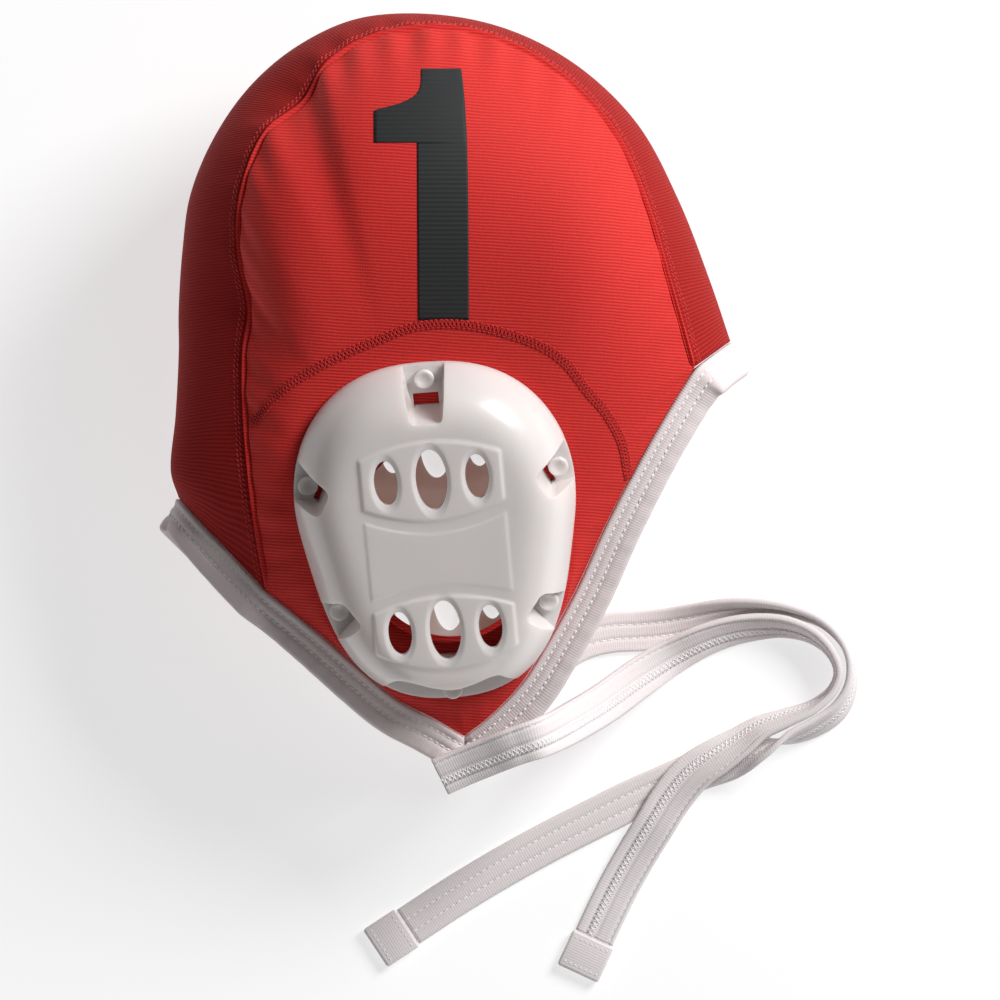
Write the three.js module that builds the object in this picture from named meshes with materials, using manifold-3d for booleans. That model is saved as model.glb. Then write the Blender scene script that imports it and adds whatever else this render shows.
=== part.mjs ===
// Water polo cap lying on its left side, so the wearer's right ear guard is on top.
// +X points to the forehead, +Y to the crown, +Z up from the surface that the cap lies on.
// Two side panels and a crown strip of ribbed cloth, a white binding round the rim, two
// moulded ear guards on six pegs each, and two tapes that tie under the chin.
import * as THREE from 'three';
import { mergeVertices } from 'three/addons/utils/BufferGeometryUtils.js';
import Module from 'manifold-3d';

const wasm = await Module();
wasm.setup();

// Driving sizes, in millimetres and degrees
const capLength = 220; // nape to forehead
const capHeight = 282; // crown to the foot of the ear flap
const capDepth = 146; // surface to the top of the side that lies upward
const clothWall = 1.6;
const seamGap = 0.35; // between neighbouring pieces that are sewn or seated
const bindingWidth = 14;
const bindingThickness = 3.2;
const bindingCorner = 1.1; // chamfer along the binding's edges
const guardWidth = 110;
const guardHeight = 134;
const guardDepth = 22; // without the raised panels
const guardWall = 2;
const guardSquareness = 2.4; // exponent of the guard's rounded outline
const guardTaper = 0.07; // half of the share by which the guard's foot is narrower
const guardTaperRate = 3; // how quickly the width changes at the guard's middle
const guardLean = 4.8; // the guard's head leans to the nape
const guardTilt = 20; // slope of the upper ear side down to the flap
const guardCentreX = -6;
const guardAboveTip = 15.8; // from the flap's tip up to the foot of the upper guard, in plan
const upperGuardRise = 102; // cloth height under the middle of the upper guard
const earHoleWidth = 71;
const earHoleHeight = 82;
const earHoleAhead = 2.5; // its middle from the guard's middle, to the forehead
const earHoleDrop = 5; // and to the flap
const pegHeadRadius = 3.8;
const pegHeadHeight = 2.4;
const pegShankRadius = 2;
const pegInset = 5.6; // peg axis from the guard's edge
const pocketWidth = 16.5; // recess that opens each peg to the edge
const pocketReach = 7; // recess inward from the peg axis
const topPocketReach = 12;
const pocketOutreach = 4; // recess cut beyond the peg axis, clear of the guard's edge
const footPocketWidth = 44; // wide recess at the guard's lower end
const footPegInset = 3.9;
const slotLength = 9.5; // slot on the inner side of the three upper pegs
const topSlotWidth = 5;
const sideSlotWidth = 2.2;
const ovalPitch = 17; // hearing holes stand in two rows of three
const ovalWidth = 8.8;
const ovalHeight = 17.6;
const middleOvalWidth = 11.6;
const middleOvalHeight = 24;
const upperRowRise = 28;
const lowerRowDrop = 32;
const panelHalfWidth = 27; // raised panels round the hearing holes
const panelRelief = 0.8;
const upperPanelLow = 18; // corners of the upper panel from the guard's middle
const upperPanelHigh = 38;
const upperPanelArch = 6; // its top edge arches and its lower edge sags by these
const upperPanelSag = 6.5;
const lowerPanelLow = -40.5;
const lowerPanelHigh = -23;
const lowerPanelArch = 5.5;
const lowerPanelSag = 7;
const pegHeadChamfer = 0.4;
const pegHeadFlat = 0.75; // share of the head's radius inside the chamfer
const pegDish = 0.5; // hollow in the middle of a peg's head
const tieWidth = 16;
const tieThickness = 2.6;
const hemLength = 15;
const hemWidth = 17.5;
const hemThickness = 4.2;
const tieEdge = 0.6; // chamfer along a tape's edges as a share of half its thickness

// How the cloth lies
const flatBeyondGuard = 1.5; // the cloth stays level this far past the guard's edge
const lowerSag = 0.6; // slope at which the lower side leaves its guard
const lowerUpturn = 1.2; // the lower side meets its seam this much more steeply
const bindingFlare = 0.5; // share of the cloth's slope that the binding takes up
const mitreSlope = 1.1; // slope of the cut where a side panel meets the crown strip
const stripRoundness = 2.2; // exponent of the crown strip's bulge from seam to seam

// How finely the pieces are faceted
const ringsOutsideGuard = 5;
const stripSegments = 6;
const guardPoints = 28;
const ovalSegments = 5;
const pegSides = 8;
const cutMargin = 4; // how far a cutting body runs past what it cuts

const scarlet = new THREE.Color(0.66, 0.07, 0.06);
const white = new THREE.Color(0.88, 0.86, 0.86);
const palePlastic = new THREE.Color(0.9, 0.89, 0.88);

const radians = THREE.MathUtils.degToRad;
const vec = (x, y, z) => new THREE.Vector3(x, y, z);

// Seam rows run from the nape over the crown to the forehead. x and y are shares of the
// cap's length and height from its middle, upper and lower are shares of its depth for the
// seams on the two sides, crestX and crestY the strip's own outermost line, and fall is the
// slope at which the side panel meets the seam.
const seamRows = [
  { x: -0.326, y: -0.278, upper: 0.59, lower: 0.23, crestX: -0.481, crestY: -0.153, fall: 0.6 },
  { x: -0.348, y: -0.158, upper: 0.67, lower: 0.22, crestX: -0.493, crestY: -0.119, fall: 0.8 },
  { x: -0.360, y: -0.036, upper: 0.72, lower: 0.21, crestX: -0.484, crestY: -0.042, fall: 0.7 },
  { x: -0.359, y: 0.045, upper: 0.75, lower: 0.21, crestX: -0.478, crestY: 0.045, fall: 0.7 },
  { x: -0.349, y: 0.096, upper: 0.77, lower: 0.21, crestX: -0.478, crestY: 0.096, fall: 0.7 },
  { x: -0.367, y: 0.177, upper: 0.79, lower: 0.20, crestX: -0.471, crestY: 0.180, fall: 0.8 },
  { x: -0.360, y: 0.255, upper: 0.81, lower: 0.20, crestX: -0.457, crestY: 0.254, fall: 0.9 },
  { x: -0.319, y: 0.333, upper: 0.80, lower: 0.21, crestX: -0.414, crestY: 0.334, fall: 1.0 },
  { x: -0.257, y: 0.372, upper: 0.78, lower: 0.22, crestX: -0.350, crestY: 0.404, fall: 1.1 },
  { x: -0.217, y: 0.423, upper: 0.77, lower: 0.23, crestX: -0.267, crestY: 0.457, fall: 1.2 },
  { x: -0.141, y: 0.460, upper: 0.75, lower: 0.25, crestX: -0.164, crestY: 0.492, fall: 1.3 },
  { x: -0.026, y: 0.474, upper: 0.75, lower: 0.25, crestX: -0.026, crestY: 0.496, fall: 1.3 },
  { x: 0.088, y: 0.454, upper: 0.75, lower: 0.25, crestX: 0.100, crestY: 0.474, fall: 1.3 },
  { x: 0.191, y: 0.405, upper: 0.77, lower: 0.23, crestX: 0.216, crestY: 0.425, fall: 1.2 },
  { x: 0.276, y: 0.330, upper: 0.79, lower: 0.23, crestX: 0.316, crestY: 0.348, fall: 1.1 },
  { x: 0.329, y: 0.236, upper: 0.79, lower: 0.22, crestX: 0.386, crestY: 0.247, fall: 1.0 },
  { x: 0.369, y: 0.131, upper: 0.78, lower: 0.23, crestX: 0.441, crestY: 0.137, fall: 0.65 },
  { x: 0.410, y: 0.020, upper: 0.74, lower: 0.25, crestX: 0.476, crestY: 0.057, fall: 0.4 },
];

// Rim rows hold the same shares along the inner edge of the binding.
const frontRimRows = [
  { x: 0.410, y: 0.020, upper: 0.74, lower: 0.25, fall: 0.4 },
  { x: 0.336, y: -0.076, upper: 0.73, lower: 0.22, fall: 0.4 },
  { x: 0.262, y: -0.184, upper: 0.68, lower: 0.19, fall: 0.3 },
  { x: 0.207, y: -0.278, upper: 0.615, lower: 0.17, fall: 0.3 },
  { x: 0.155, y: -0.352, upper: 0.57, lower: 0.158, fall: 0.3 },
  { x: 0.112, y: -0.406, upper: 0.535, lower: 0.152, fall: 0.3 },
  { x: 0.055, y: -0.452, upper: 0.503, lower: 0.115, fall: 0.35 },
  { x: 0.0155, y: -0.476, upper: 0.48, lower: 0.105, fall: 0.35 },
];
const rearRimRows = [
  { x: 0.0155, y: -0.476, upper: 0.48, lower: 0.105, fall: 0.35 },
  { x: -0.036, y: -0.452, upper: 0.497, lower: 0.14, fall: 0.35 },
  { x: -0.095, y: -0.428, upper: 0.515, lower: 0.156, fall: 0.4 },
  { x: -0.147, y: -0.395, upper: 0.54, lower: 0.159, fall: 0.4 },
  { x: -0.2155, y: -0.348, upper: 0.565, lower: 0.165, fall: 0.5 },
  { x: -0.276, y: -0.309, upper: 0.58, lower: 0.195, fall: 0.7 },
  { x: -0.326, y: -0.278, upper: 0.59, lower: 0.23, fall: 0.6 },
];

const flapTip = frontRimRows.at(-1).y * capHeight;
const guardCentreY = flapTip + guardAboveTip + (guardHeight / 2) * Math.cos(radians(guardTilt));

// Routes of the two tapes, chosen by hand: x, y and z of the tape's middle, and roll, the
// angle in degrees by which its outer edge stands up.
const upperTieRoute = [
  [-5.8, -149.8, 69.5, 20], [3.0, -145.9, 70.5, 20], [12.2, -142.1, 73, 20], [22.8, -137.9, 76.4, 20],
  [34.3, -134.0, 73.6, 14], [46.0, -129.3, 44, 0], [57.8, -123.0, 25, 0], [70.9, -114.1, 11, 8],
  [82.8, -106.5, 5, 25], [95.3, -99.8, 6, 38], [106.2, -95.9, 6.5, 45], [117.5, -93.9, 7, 52],
  [128.4, -93.9, 7.6, 62], [138.9, -97.4, 8.2, 74], [145.9, -103.6, 8.6, 84], [149.1, -111.4, 8.6, 88],
  [146.7, -118.5, 8.6, 86], [138.9, -125.1, 8.6, 80], [128.4, -129.4, 8.5, 70], [118.6, -133.3, 8.2, 60],
  [110.0, -139.2, 8, 45], [101.4, -144.6, 8, 28], [92.9, -150.5, 7.2, 15], [84.4, -160.5, 5.8, 4],
  [77.8, -171.1, 4.8, 0], [71.1, -182.1, 2.8, 0], [64.5, -193.8, 1.7, 0], [59.0, -204.8, 1.7, 0],
  [53.9, -215.7, 1.7, 0],
];
const lowerTieRoute = [
  [-0.5, -147.7, 9, 0], [9.3, -137.4, 4, 0], [19.1, -125.7, 1.7, 0], [28.8, -114.7, 1.7, 0],
  [39.0, -105.0, 1.7, 0], [49.2, -99.1, 1.7, 0], [60.2, -96.3, 1.7, 0], [71.9, -95.6, 1.7, 0],
  [82.8, -94.4, 2.5, 6], [93.7, -92.0, 4.4, 20], [105.0, -88.8, 6.4, 42], [117.5, -87.2, 7.8, 60],
  [130.3, -88.0, 8.4, 75], [142.0, -91.9, 8.6, 84], [149.8, -98.9, 8.6, 90], [153.8, -107.5, 8.6, 96],
  [153.8, -117.7, 8.4, 106], [149.1, -126.7, 8.2, 116], [140.2, -132.9, 8.2, 116],
  [129.7, -137.3, 8.2, 104], [118.8, -141.3, 8, 60], [107.1, -146.1, 4.6, 18], [95.4, -150.0, 1.8, 3],
  [82.9, -155.5, 1.7, 0], [68.8, -161.7, 1.7, 0], [52.3, -169.9, 1.7, 0], [34.7, -178.9, 1.7, 0],
  [17.1, -188.7, 1.7, 0], [-0.5, -199.3, 1.7, 0], [-18.9, -211.4, 1.7, 0],
];

// Small helpers for meshes

function meshFrom(positions, triangles) {
  const geometry = new THREE.BufferGeometry();
  geometry.setAttribute('position', new THREE.Float32BufferAttribute(positions, 3));
  geometry.setIndex(triangles);
  return geometry;
}

// Closed body through rings of equally many points, which run counter-clockwise when seen
// from the last ring looking back to the first.
function loft(rings) {
  const count = rings[0].length;
  const positions = rings.flat().flatMap((point) => point.toArray());
  const triangles = [];
  for (let ring = 0; ring < rings.length - 1; ring++) {
    for (let i = 0; i < count; i++) {
      const next = (i + 1) % count;
      const a = ring * count + i;
      const b = ring * count + next;
      triangles.push(a, b, a + count, b, b + count, a + count);
    }
  }
  for (let i = 1; i < count - 1; i++) {
    const last = (rings.length - 1) * count;
    triangles.push(0, i + 1, i, last, last + i, last + i + 1);
  }
  return meshFrom(positions, triangles);
}

// Cloth of one thickness between an outer and an inner grid of points. The columns close on
// themselves where wrap is set, and otherwise both side edges get a wall.
function cloth(outer, inner, wrap, facesOut) {
  const rows = outer.length;
  const columns = outer[0].length;
  const positions = [...outer.flat(), ...inner.flat()].flatMap((point) => point.toArray());
  const inside = rows * columns;
  const triangles = [];
  const quad = (a, b, c, d) => triangles.push(...(facesOut ? [a, b, c, a, c, d] : [a, c, b, a, d, c]));
  const spans = wrap ? columns : columns - 1;
  for (let i = 0; i < spans; i++) {
    const next = (i + 1) % columns;
    for (let row = 0; row < rows - 1; row++) {
      const a = row * columns;
      const b = a + columns;
      quad(a + i, b + i, b + next, a + next);
      quad(inside + a + i, inside + a + next, inside + b + next, inside + b + i);
    }
    const end = (rows - 1) * columns;
    quad(i, next, inside + next, inside + i);
    quad(end + i, inside + end + i, inside + end + next, end + next);
  }
  if (!wrap) {
    const edge = columns - 1;
    for (let row = 0; row < rows - 1; row++) {
      const a = row * columns;
      const b = a + columns;
      quad(a, inside + a, inside + b, b);
      quad(a + edge, b + edge, inside + b + edge, inside + a + edge);
    }
  }
  return meshFrom(positions, triangles);
}

function toSolid(geometry) {
  const bare = geometry.clone();
  bare.deleteAttribute('normal');
  bare.deleteAttribute('uv');
  const merged = mergeVertices(bare, 1e-4);
  const triVerts = merged.index.array;
  const vertProperties = merged.attributes.position.array;
  return new wasm.Manifold(new wasm.Mesh({
    numProp: 3,
    vertProperties: Float32Array.from(vertProperties),
    triVerts: Uint32Array.from(triVerts),
  }));
}

function fromSolid(solid) {
  const mesh = solid.getMesh();
  return meshFrom(Array.from(mesh.vertProperties), Array.from(mesh.triVerts));
}

// Smooth line through rows, sampled evenly in the rows' own spacing
function sampleRows(rows, fields, segments) {
  const place = (row) => vec(row.x, row.y, 0);
  const line = new THREE.CatmullRomCurve3(rows.map(place), false, 'centripetal');
  const samples = [];
  for (let i = 0; i <= segments; i++) {
    const along = (i / segments) * (rows.length - 1);
    const low = Math.min(Math.floor(along), rows.length - 2);
    const share = along - low;
    const sample = line.getPoint(i / segments);
    const out = { x: sample.x, y: sample.y };
    for (const field of fields) {
      out[field] = THREE.MathUtils.lerp(rows[low][field], rows[low + 1][field], share);
    }
    samples.push(out);
  }
  return samples;
}

const seamSegments = (seamRows.length - 1) * 2;
const seamLine = sampleRows(seamRows, ['upper', 'lower', 'fall', 'crestX', 'crestY'], seamSegments);
const frontRim = sampleRows(frontRimRows, ['upper', 'lower', 'fall'], frontRimRows.length);
const rearRim = sampleRows(rearRimRows, ['upper', 'lower', 'fall'], rearRimRows.length);

// The crest follows its own smooth line
const crestCurve = new THREE.CatmullRomCurve3(
  seamRows.map((row) => vec(row.crestX * capLength, row.crestY * capHeight, 0)), false, 'centripetal');
const crestPoint = (station) => crestCurve.getPoint(station / seamSegments);

const onSide = (row, side) => vec(row.x * capLength, row.y * capHeight, row[side] * capDepth);

// Ear guard outline, in the guard's own plane

function guardOutline(inset = 0, points = guardPoints) {
  const high = guardHeight / 2 - inset;
  const outline = [];
  for (let i = 0; i < points; i++) {
    const turn = (i / points) * Math.PI * 2;
    const lift = Math.sign(Math.sin(turn)) * Math.abs(Math.sin(turn)) ** (2 / guardSquareness);
    const reach = Math.sign(Math.cos(turn)) * Math.abs(Math.cos(turn)) ** (2 / guardSquareness);
    const share = 1 - guardTaper * (1 - Math.tanh(guardTaperRate * lift));
    const half = (guardWidth / 2) * share - inset;
    outline.push(new THREE.Vector2(reach * half, lift * high));
  }
  return outline;
}

function outlineRadius(outline, direction) {
  for (let i = 0; i < outline.length; i++) {
    const a = outline[i];
    const b = outline[(i + 1) % outline.length];
    const turnA = a.x * direction.y - a.y * direction.x;
    const turnB = b.x * direction.y - b.y * direction.x;
    if (turnA >= 0 && turnB < 0) {
      const share = turnA / (turnA - turnB);
      return new THREE.Vector2().lerpVectors(a, b, share).dot(direction);
    }
  }
  return outline[0].length();
}

// Where each guard sits. The upper ear side slopes down to the flap, the lower one lies
// level on its guard, and the lower ends of both guards line up.
const levelShift = (guardHeight / 2) * (1 - Math.cos(radians(guardTilt)));
const seats = {
  upper: { x: guardCentreX, y: guardCentreY, z: upperGuardRise, tilt: radians(guardTilt), up: 1 },
  lower: {
    x: guardCentreX,
    y: guardCentreY + levelShift,
    z: guardDepth + panelRelief + seamGap,
    tilt: 0,
    up: -1,
  },
};

function planeHeight(seat, y) {
  return seat.z + (y - seat.y) * Math.tan(seat.tilt);
}

// Distance in plan from the seat's middle to an outline given in the guard's plane
function planRadius(seat, outline, angle) {
  const flatX = Math.cos(angle);
  const flatY = Math.sin(angle) / Math.cos(seat.tilt);
  const lean = radians(guardLean);
  const inPlane = new THREE.Vector2(
    flatX * Math.cos(lean) + flatY * Math.sin(lean),
    -flatX * Math.sin(lean) + flatY * Math.cos(lean));
  const stretch = inPlane.length();
  return outlineRadius(outline, inPlane.normalize()) / stretch;
}

const guardEdge = guardOutline();
const earHoleEdge = guardEdge.map((_, i) => {
  const turn = (i / guardPoints) * Math.PI * 2;
  const x = earHoleAhead + Math.cos(turn) * earHoleWidth / 2;
  return new THREE.Vector2(x, -earHoleDrop + Math.sin(turn) * earHoleHeight / 2);
});

// A side panel runs from the ear hole, flat under the guard, and then in a smooth swell to
// the seam and the rim. The lower one sags to the surface.
function sidePanelGrid(side) {
  const seat = seats[side];
  const edge = [...seamLine.slice(0, -1), ...frontRim.slice(0, -1), ...rearRim.slice(0, -1)];
  const rings = Array.from({ length: ringsOutsideGuard + 2 }, () => []);
  for (const row of edge) {
    const rim = onSide(row, side);
    const angle = Math.atan2(rim.y - seat.y, rim.x - seat.x);
    const reach = Math.hypot(rim.x - seat.x, rim.y - seat.y);
    const hole = planRadius(seat, earHoleEdge, angle);
    const flat = Math.min(planRadius(seat, guardEdge, angle) + flatBeyondGuard, reach - 1);
    const at = (radius, z) => vec(seat.x + Math.cos(angle) * radius, seat.y + Math.sin(angle) * radius, z);
    rings[0].push(at(hole, planeHeight(seat, seat.y + Math.sin(angle) * hole)));
    const start = planeHeight(seat, seat.y + Math.sin(angle) * flat);
    const run = reach - flat;
    const leave = side === 'upper' ? Math.tan(seat.tilt) * Math.sin(angle) : -lowerSag;
    const arrive = side === 'upper' ? -row.fall : row.fall * lowerUpturn;
    for (let k = 0; k <= ringsOutsideGuard; k++) {
      const s = k / ringsOutsideGuard;
      const swell = (2 * s ** 3 - 3 * s ** 2 + 1) * start + (s ** 3 - 2 * s ** 2 + s) * run * leave
        + (-2 * s ** 3 + 3 * s ** 2) * rim.z + (s ** 3 - s ** 2) * run * arrive;
      rings[k + 1].push(at(flat + run * s, Math.max(swell, 0)));
    }
  }
  return rings;
}

function gridNormals(grid, wrap, flip) {
  return grid.map((row, r) => row.map((point, i) => {
    const columns = row.length;
    const before = wrap ? row[(i + columns - 1) % columns] : row[Math.max(i - 1, 0)];
    const after = wrap ? row[(i + 1) % columns] : row[Math.min(i + 1, columns - 1)];
    const under = grid[Math.max(r - 1, 0)][i];
    const over = grid[Math.min(r + 1, grid.length - 1)][i];
    const normal = after.clone().sub(before).cross(over.clone().sub(under)).normalize();
    return flip ? normal.negate() : normal;
  }));
}

// Both pieces that meet at a seam are cut along the same mitre
function seamMitre(station, side) {
  const before = onSide(seamLine[Math.max(station - 1, 0)], side);
  const after = onSide(seamLine[Math.min(station + 1, seamSegments)], side);
  const along = after.sub(before).setZ(0).normalize();
  return vec(-along.y, along.x, seats[side].up * mitreSlope).normalize();
}

function sidePanel(side) {
  const outer = sidePanelGrid(side);
  const normals = gridNormals(outer, true, side === 'lower');
  const last = outer.length - 1;
  for (let station = 0; station <= seamSegments; station++) {
    normals[last][station].copy(seamMitre(station, side));
  }
  const inner = outer.map((ring, r) => ring.map((point, i) =>
    point.clone().addScaledVector(normals[r][i], -clothWall)));
  return cloth(outer, inner, true, side === 'lower');
}

// The crown strip bulges from seam to seam through the crest
function stripGrid() {
  const grid = [];
  for (let station = 0; station <= seamSegments; station++) {
    const upper = onSide(seamLine[station], 'upper');
    const lower = onSide(seamLine[station], 'lower');
    const crest = crestPoint(station);
    const bulge = crest.clone().sub(vec(upper.x, upper.y, 0));
    const row = [];
    for (let k = 0; k <= stripSegments; k++) {
      const across = 1 - (2 * k) / stripSegments;
      const out = 1 - Math.abs(across) ** stripRoundness;
      const point = vec(upper.x + bulge.x * out, upper.y + bulge.y * out,
        THREE.MathUtils.lerp(lower.z, upper.z, (across + 1) / 2));
      row.push(point);
    }
    const first = row[0].clone().sub(row[1]).normalize();
    const final = row[stripSegments].clone().sub(row[stripSegments - 1]).normalize();
    row[0].addScaledVector(first, -seamGap);
    row[stripSegments].addScaledVector(final, -seamGap);
    grid.push(row);
  }
  return grid;
}

function crownStrip() {
  const outer = stripGrid();
  const normals = gridNormals(outer, false, true);
  outer.forEach((row, station) => {
    normals[station][0].copy(seamMitre(station, 'upper'));
    normals[station][stripSegments].copy(seamMitre(station, 'lower'));
  });
  const inner = outer.map((row, r) => row.map((point, i) =>
    point.clone().addScaledVector(normals[r][i], -clothWall)));
  return cloth(outer, inner, false, true);
}

// The binding is a flat bar along the rim, from flap tip over the strip's end to flap tip

function bindingRing(point, outward, normal) {
  const half = bindingThickness / 2;
  const middle = point.clone().addScaledVector(normal, -clothWall / 2);
  const at = (out, up) => middle.clone()
    .addScaledVector(outward, seamGap + out)
    .addScaledVector(normal, up);
  const c = bindingCorner;
  const w = bindingWidth;
  return [
    at(0, -half + c), at(c, -half), at(w - c, -half), at(w, -half + c),
    at(w, half - c), at(w - c, half), at(c, half), at(0, half - c),
  ];
}

// Stations along one rim: its points, and the points one ring further in
function rimStations(front) {
  const stripRows = stripGrid();
  const end = front ? seamSegments : 0;
  const further = front ? seamSegments - 1 : 1;
  const stripPart = stripRows[end].map((point, i) => ({ point, inner: stripRows[further][i] }));
  const sidePart = (side) => {
    const grid = sidePanelGrid(side);
    const edge = grid[grid.length - 1];
    const within = grid[grid.length - 2];
    const corner = seamSegments;
    const apex = seamSegments + frontRim.length - 1;
    const picked = front
      ? Array.from({ length: frontRim.length }, (_, i) => corner + i)
      : Array.from({ length: rearRim.length }, (_, i) => (apex + rearRim.length - 1 - i) % edge.length);
    return picked.map((i) => ({ point: edge[i], inner: within[i] }));
  };
  const between = (a, b) => ({
    point: a.point.clone().lerp(b.point, 0.5),
    inner: a.inner.clone().lerp(b.inner, 0.5),
  });
  const upper = sidePart('upper').reverse();
  const lower = sidePart('lower');
  return [
    ...upper.slice(0, -1), between(upper.at(-1), stripPart[0]),
    ...stripPart.slice(1, -1), between(stripPart.at(-1), lower[0]), ...lower.slice(1),
  ];
}

function binding(front) {
  const stations = rimStations(front);
  const rings = stations.map((station, i) => {
    const before = stations[Math.max(i - 1, 0)].point;
    const after = stations[Math.min(i + 1, stations.length - 1)].point;
    const along = after.clone().sub(before).normalize();
    const outward = station.point.clone().sub(station.inner);
    if (i === 0 || i === stations.length - 1) {
      const slope = (bindingFlare * outward.z) / Math.hypot(outward.x, outward.y);
      const up = i === 0 ? 1 : -1;
      const away = (front ? seamGap : -seamGap) / 2;
      const point = station.point.clone().add(vec(away, 0, 0));
      return bindingRing(point, vec(0, -1, slope).normalize(), vec(0, up * slope, up).normalize());
    }
    outward.addScaledVector(along, -outward.dot(along)).normalize();
    outward.z *= bindingFlare;
    outward.addScaledVector(along, -outward.dot(along)).normalize();
    const normal = front ? outward.clone().cross(along) : along.clone().cross(outward);
    return bindingRing(station.point, outward, normal.normalize());
  });
  if (front) rings.forEach((ring) => ring.reverse());
  return loft(rings);
}

// Ear guard: a thin dome with a pocket at each peg, two rows of hearing holes and two
// raised panels. Its own z = 0 is the rim that lies on the cloth.

// Levels of the dome: inset from the outline as a share of the guard's width, and rise as a
// share of its depth
const domeLevels = [
  { inset: 0, rise: 0 }, { inset: 0, rise: 0.16 }, { inset: 0.02, rise: 0.42 },
  { inset: 0.067, rise: 0.72 }, { inset: 0.143, rise: 0.92 }, { inset: 0.238, rise: 1 },
];

function dome(insetMore, drop) {
  const rings = domeLevels.map((level, i) => {
    const z = i === 0 ? -drop : level.rise * guardDepth - drop;
    const ring = guardOutline(level.inset * guardWidth + insetMore);
    return ring.map((p) => vec(p.x, p.y, i === 0 ? Math.min(z, 0) : z));
  });
  return toSolid(loft(rings));
}

function prism(shape, bottom, top, curveSegments) {
  const depth = top - bottom;
  const geometry = new THREE.ExtrudeGeometry(shape, { depth, bevelEnabled: false, curveSegments });
  return toSolid(geometry.translate(0, 0, bottom));
}

// Box out from the guard's middle at a distance, turned to a peg's direction
function boxSolid(width, depth, bottom, top, distance, turn) {
  const geometry = new THREE.BoxGeometry(width, depth, top - bottom);
  geometry.translate(0, distance, (top + bottom) / 2).rotateZ(turn);
  return toSolid(geometry);
}

// Directions of the pegs round the guard, in degrees from the forehead side
const pegDirections = [90, 154, 215, 270, 322, 26];
const topPeg = 90;
const footPeg = 270;
const slottedPegs = [90, 154, 26];

function pegPlaces() {
  return pegDirections.map((degrees) => {
    const turn = radians(degrees);
    const direction = new THREE.Vector2(Math.cos(turn), Math.sin(turn));
    const inset = degrees === footPeg ? footPegInset : pegInset;
    const reach = outlineRadius(guardEdge, direction) - inset;
    return { degrees, reach, inset, turn: turn - Math.PI / 2, at: direction.multiplyScalar(reach) };
  });
}

function raisedPanel(low, high, arch, sag) {
  const shape = new THREE.Shape();
  shape.moveTo(-panelHalfWidth, low);
  shape.quadraticCurveTo(0, low - 2 * sag, panelHalfWidth, low);
  shape.lineTo(panelHalfWidth, high);
  shape.quadraticCurveTo(0, high + 2 * arch, -panelHalfWidth, high);
  shape.closePath();
  return shape;
}

function earGuard() {
  const outer = dome(0, 0);
  let guard = outer.subtract(dome(guardWall, guardWall));
  const clear = guardDepth + cutMargin;
  const upperPanel = raisedPanel(upperPanelLow, upperPanelHigh, upperPanelArch, upperPanelSag);
  const lowerPanel = raisedPanel(lowerPanelLow, lowerPanelHigh, lowerPanelArch, lowerPanelSag);
  const relief = prism(upperPanel, guardWall, clear, ovalSegments)
    .add(prism(lowerPanel, guardWall, clear, ovalSegments));
  const skin = dome(-panelRelief / 2, -panelRelief).subtract(dome(guardWall, guardWall));
  guard = guard.add(relief.intersect(skin));
  for (const { degrees, reach, turn, inset } of pegPlaces()) {
    const foot = degrees === footPeg;
    const width = foot ? footPocketWidth : pocketWidth;
    const plainReach = degrees === topPeg ? topPocketReach : pocketReach;
    const inward = foot ? pegHeadRadius + 2 * seamGap : plainReach;
    const length = inward + inset + pocketOutreach;
    const middle = reach - inward + length / 2;
    const walls = boxSolid(width + 2 * guardWall, length + 2 * guardWall, 0, clear, middle, turn);
    const pocket = boxSolid(width, length, guardWall, clear + guardWall, middle, turn);
    guard = guard.add(outer.intersect(walls)).subtract(pocket);
    const holeRadius = pegShankRadius + seamGap;
    const hole = new THREE.CylinderGeometry(holeRadius, holeRadius, 2 * cutMargin, pegSides);
    hole.rotateX(Math.PI / 2).translate(0, reach, 0).rotateZ(turn);
    guard = guard.subtract(toSolid(hole));
    if (slottedPegs.includes(degrees)) {
      const wide = degrees === topPeg ? topSlotWidth : sideSlotWidth;
      const across = reach - inward + wide / 2;
      guard = guard.subtract(boxSolid(slotLength, wide, -cutMargin, cutMargin, across, turn));
    }
  }
  for (const row of [upperRowRise, -lowerRowDrop]) {
    for (const column of [-1, 0, 1]) {
      const wide = column === 0 ? middleOvalWidth : ovalWidth;
      const tall = column === 0 ? middleOvalHeight : ovalHeight;
      const oval = new THREE.Shape();
      oval.absellipse(column * ovalPitch, row, wide / 2, tall / 2, 0, Math.PI * 2);
      guard = guard.subtract(prism(oval, -cutMargin, clear, ovalSegments));
    }
  }
  return fromSolid(guard);
}

function peg() {
  const under = guardWall + seamGap;
  const top = under + pegHeadHeight;
  const profile = [
    [0, 0], [pegShankRadius, 0], [pegShankRadius, under], [pegHeadRadius, under],
    [pegHeadRadius, top - pegHeadChamfer], [pegHeadRadius * pegHeadFlat, top], [0, top - pegDish],
  ].map(([r, z]) => new THREE.Vector2(r, z));
  return new THREE.LatheGeometry(profile, pegSides).rotateX(Math.PI / 2);
}

// Tapes: a flat section carried along the route, rolled as the table says

function tapeFrames(route) {
  const points = route.map(([x, y, z]) => vec(x, y, z));
  const curve = new THREE.CatmullRomCurve3(points, false, 'centripetal');
  const steps = (route.length - 1) * 2;
  const frames = [];
  for (let i = 0; i <= steps; i++) {
    const along = (i / steps) * (route.length - 1);
    const low = Math.min(Math.floor(along), route.length - 2);
    const roll = radians(THREE.MathUtils.lerp(route[low][3], route[low + 1][3], along - low));
    const tangent = curve.getTangent(i / steps);
    const left = vec(0, 0, 1).cross(tangent).normalize();
    const above = tangent.clone().cross(left);
    const across = left.multiplyScalar(Math.cos(roll)).addScaledVector(above, Math.sin(roll));
    frames.push({ point: curve.getPoint(i / steps), tangent, across, face: tangent.clone().cross(across) });
  }
  return frames;
}

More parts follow.
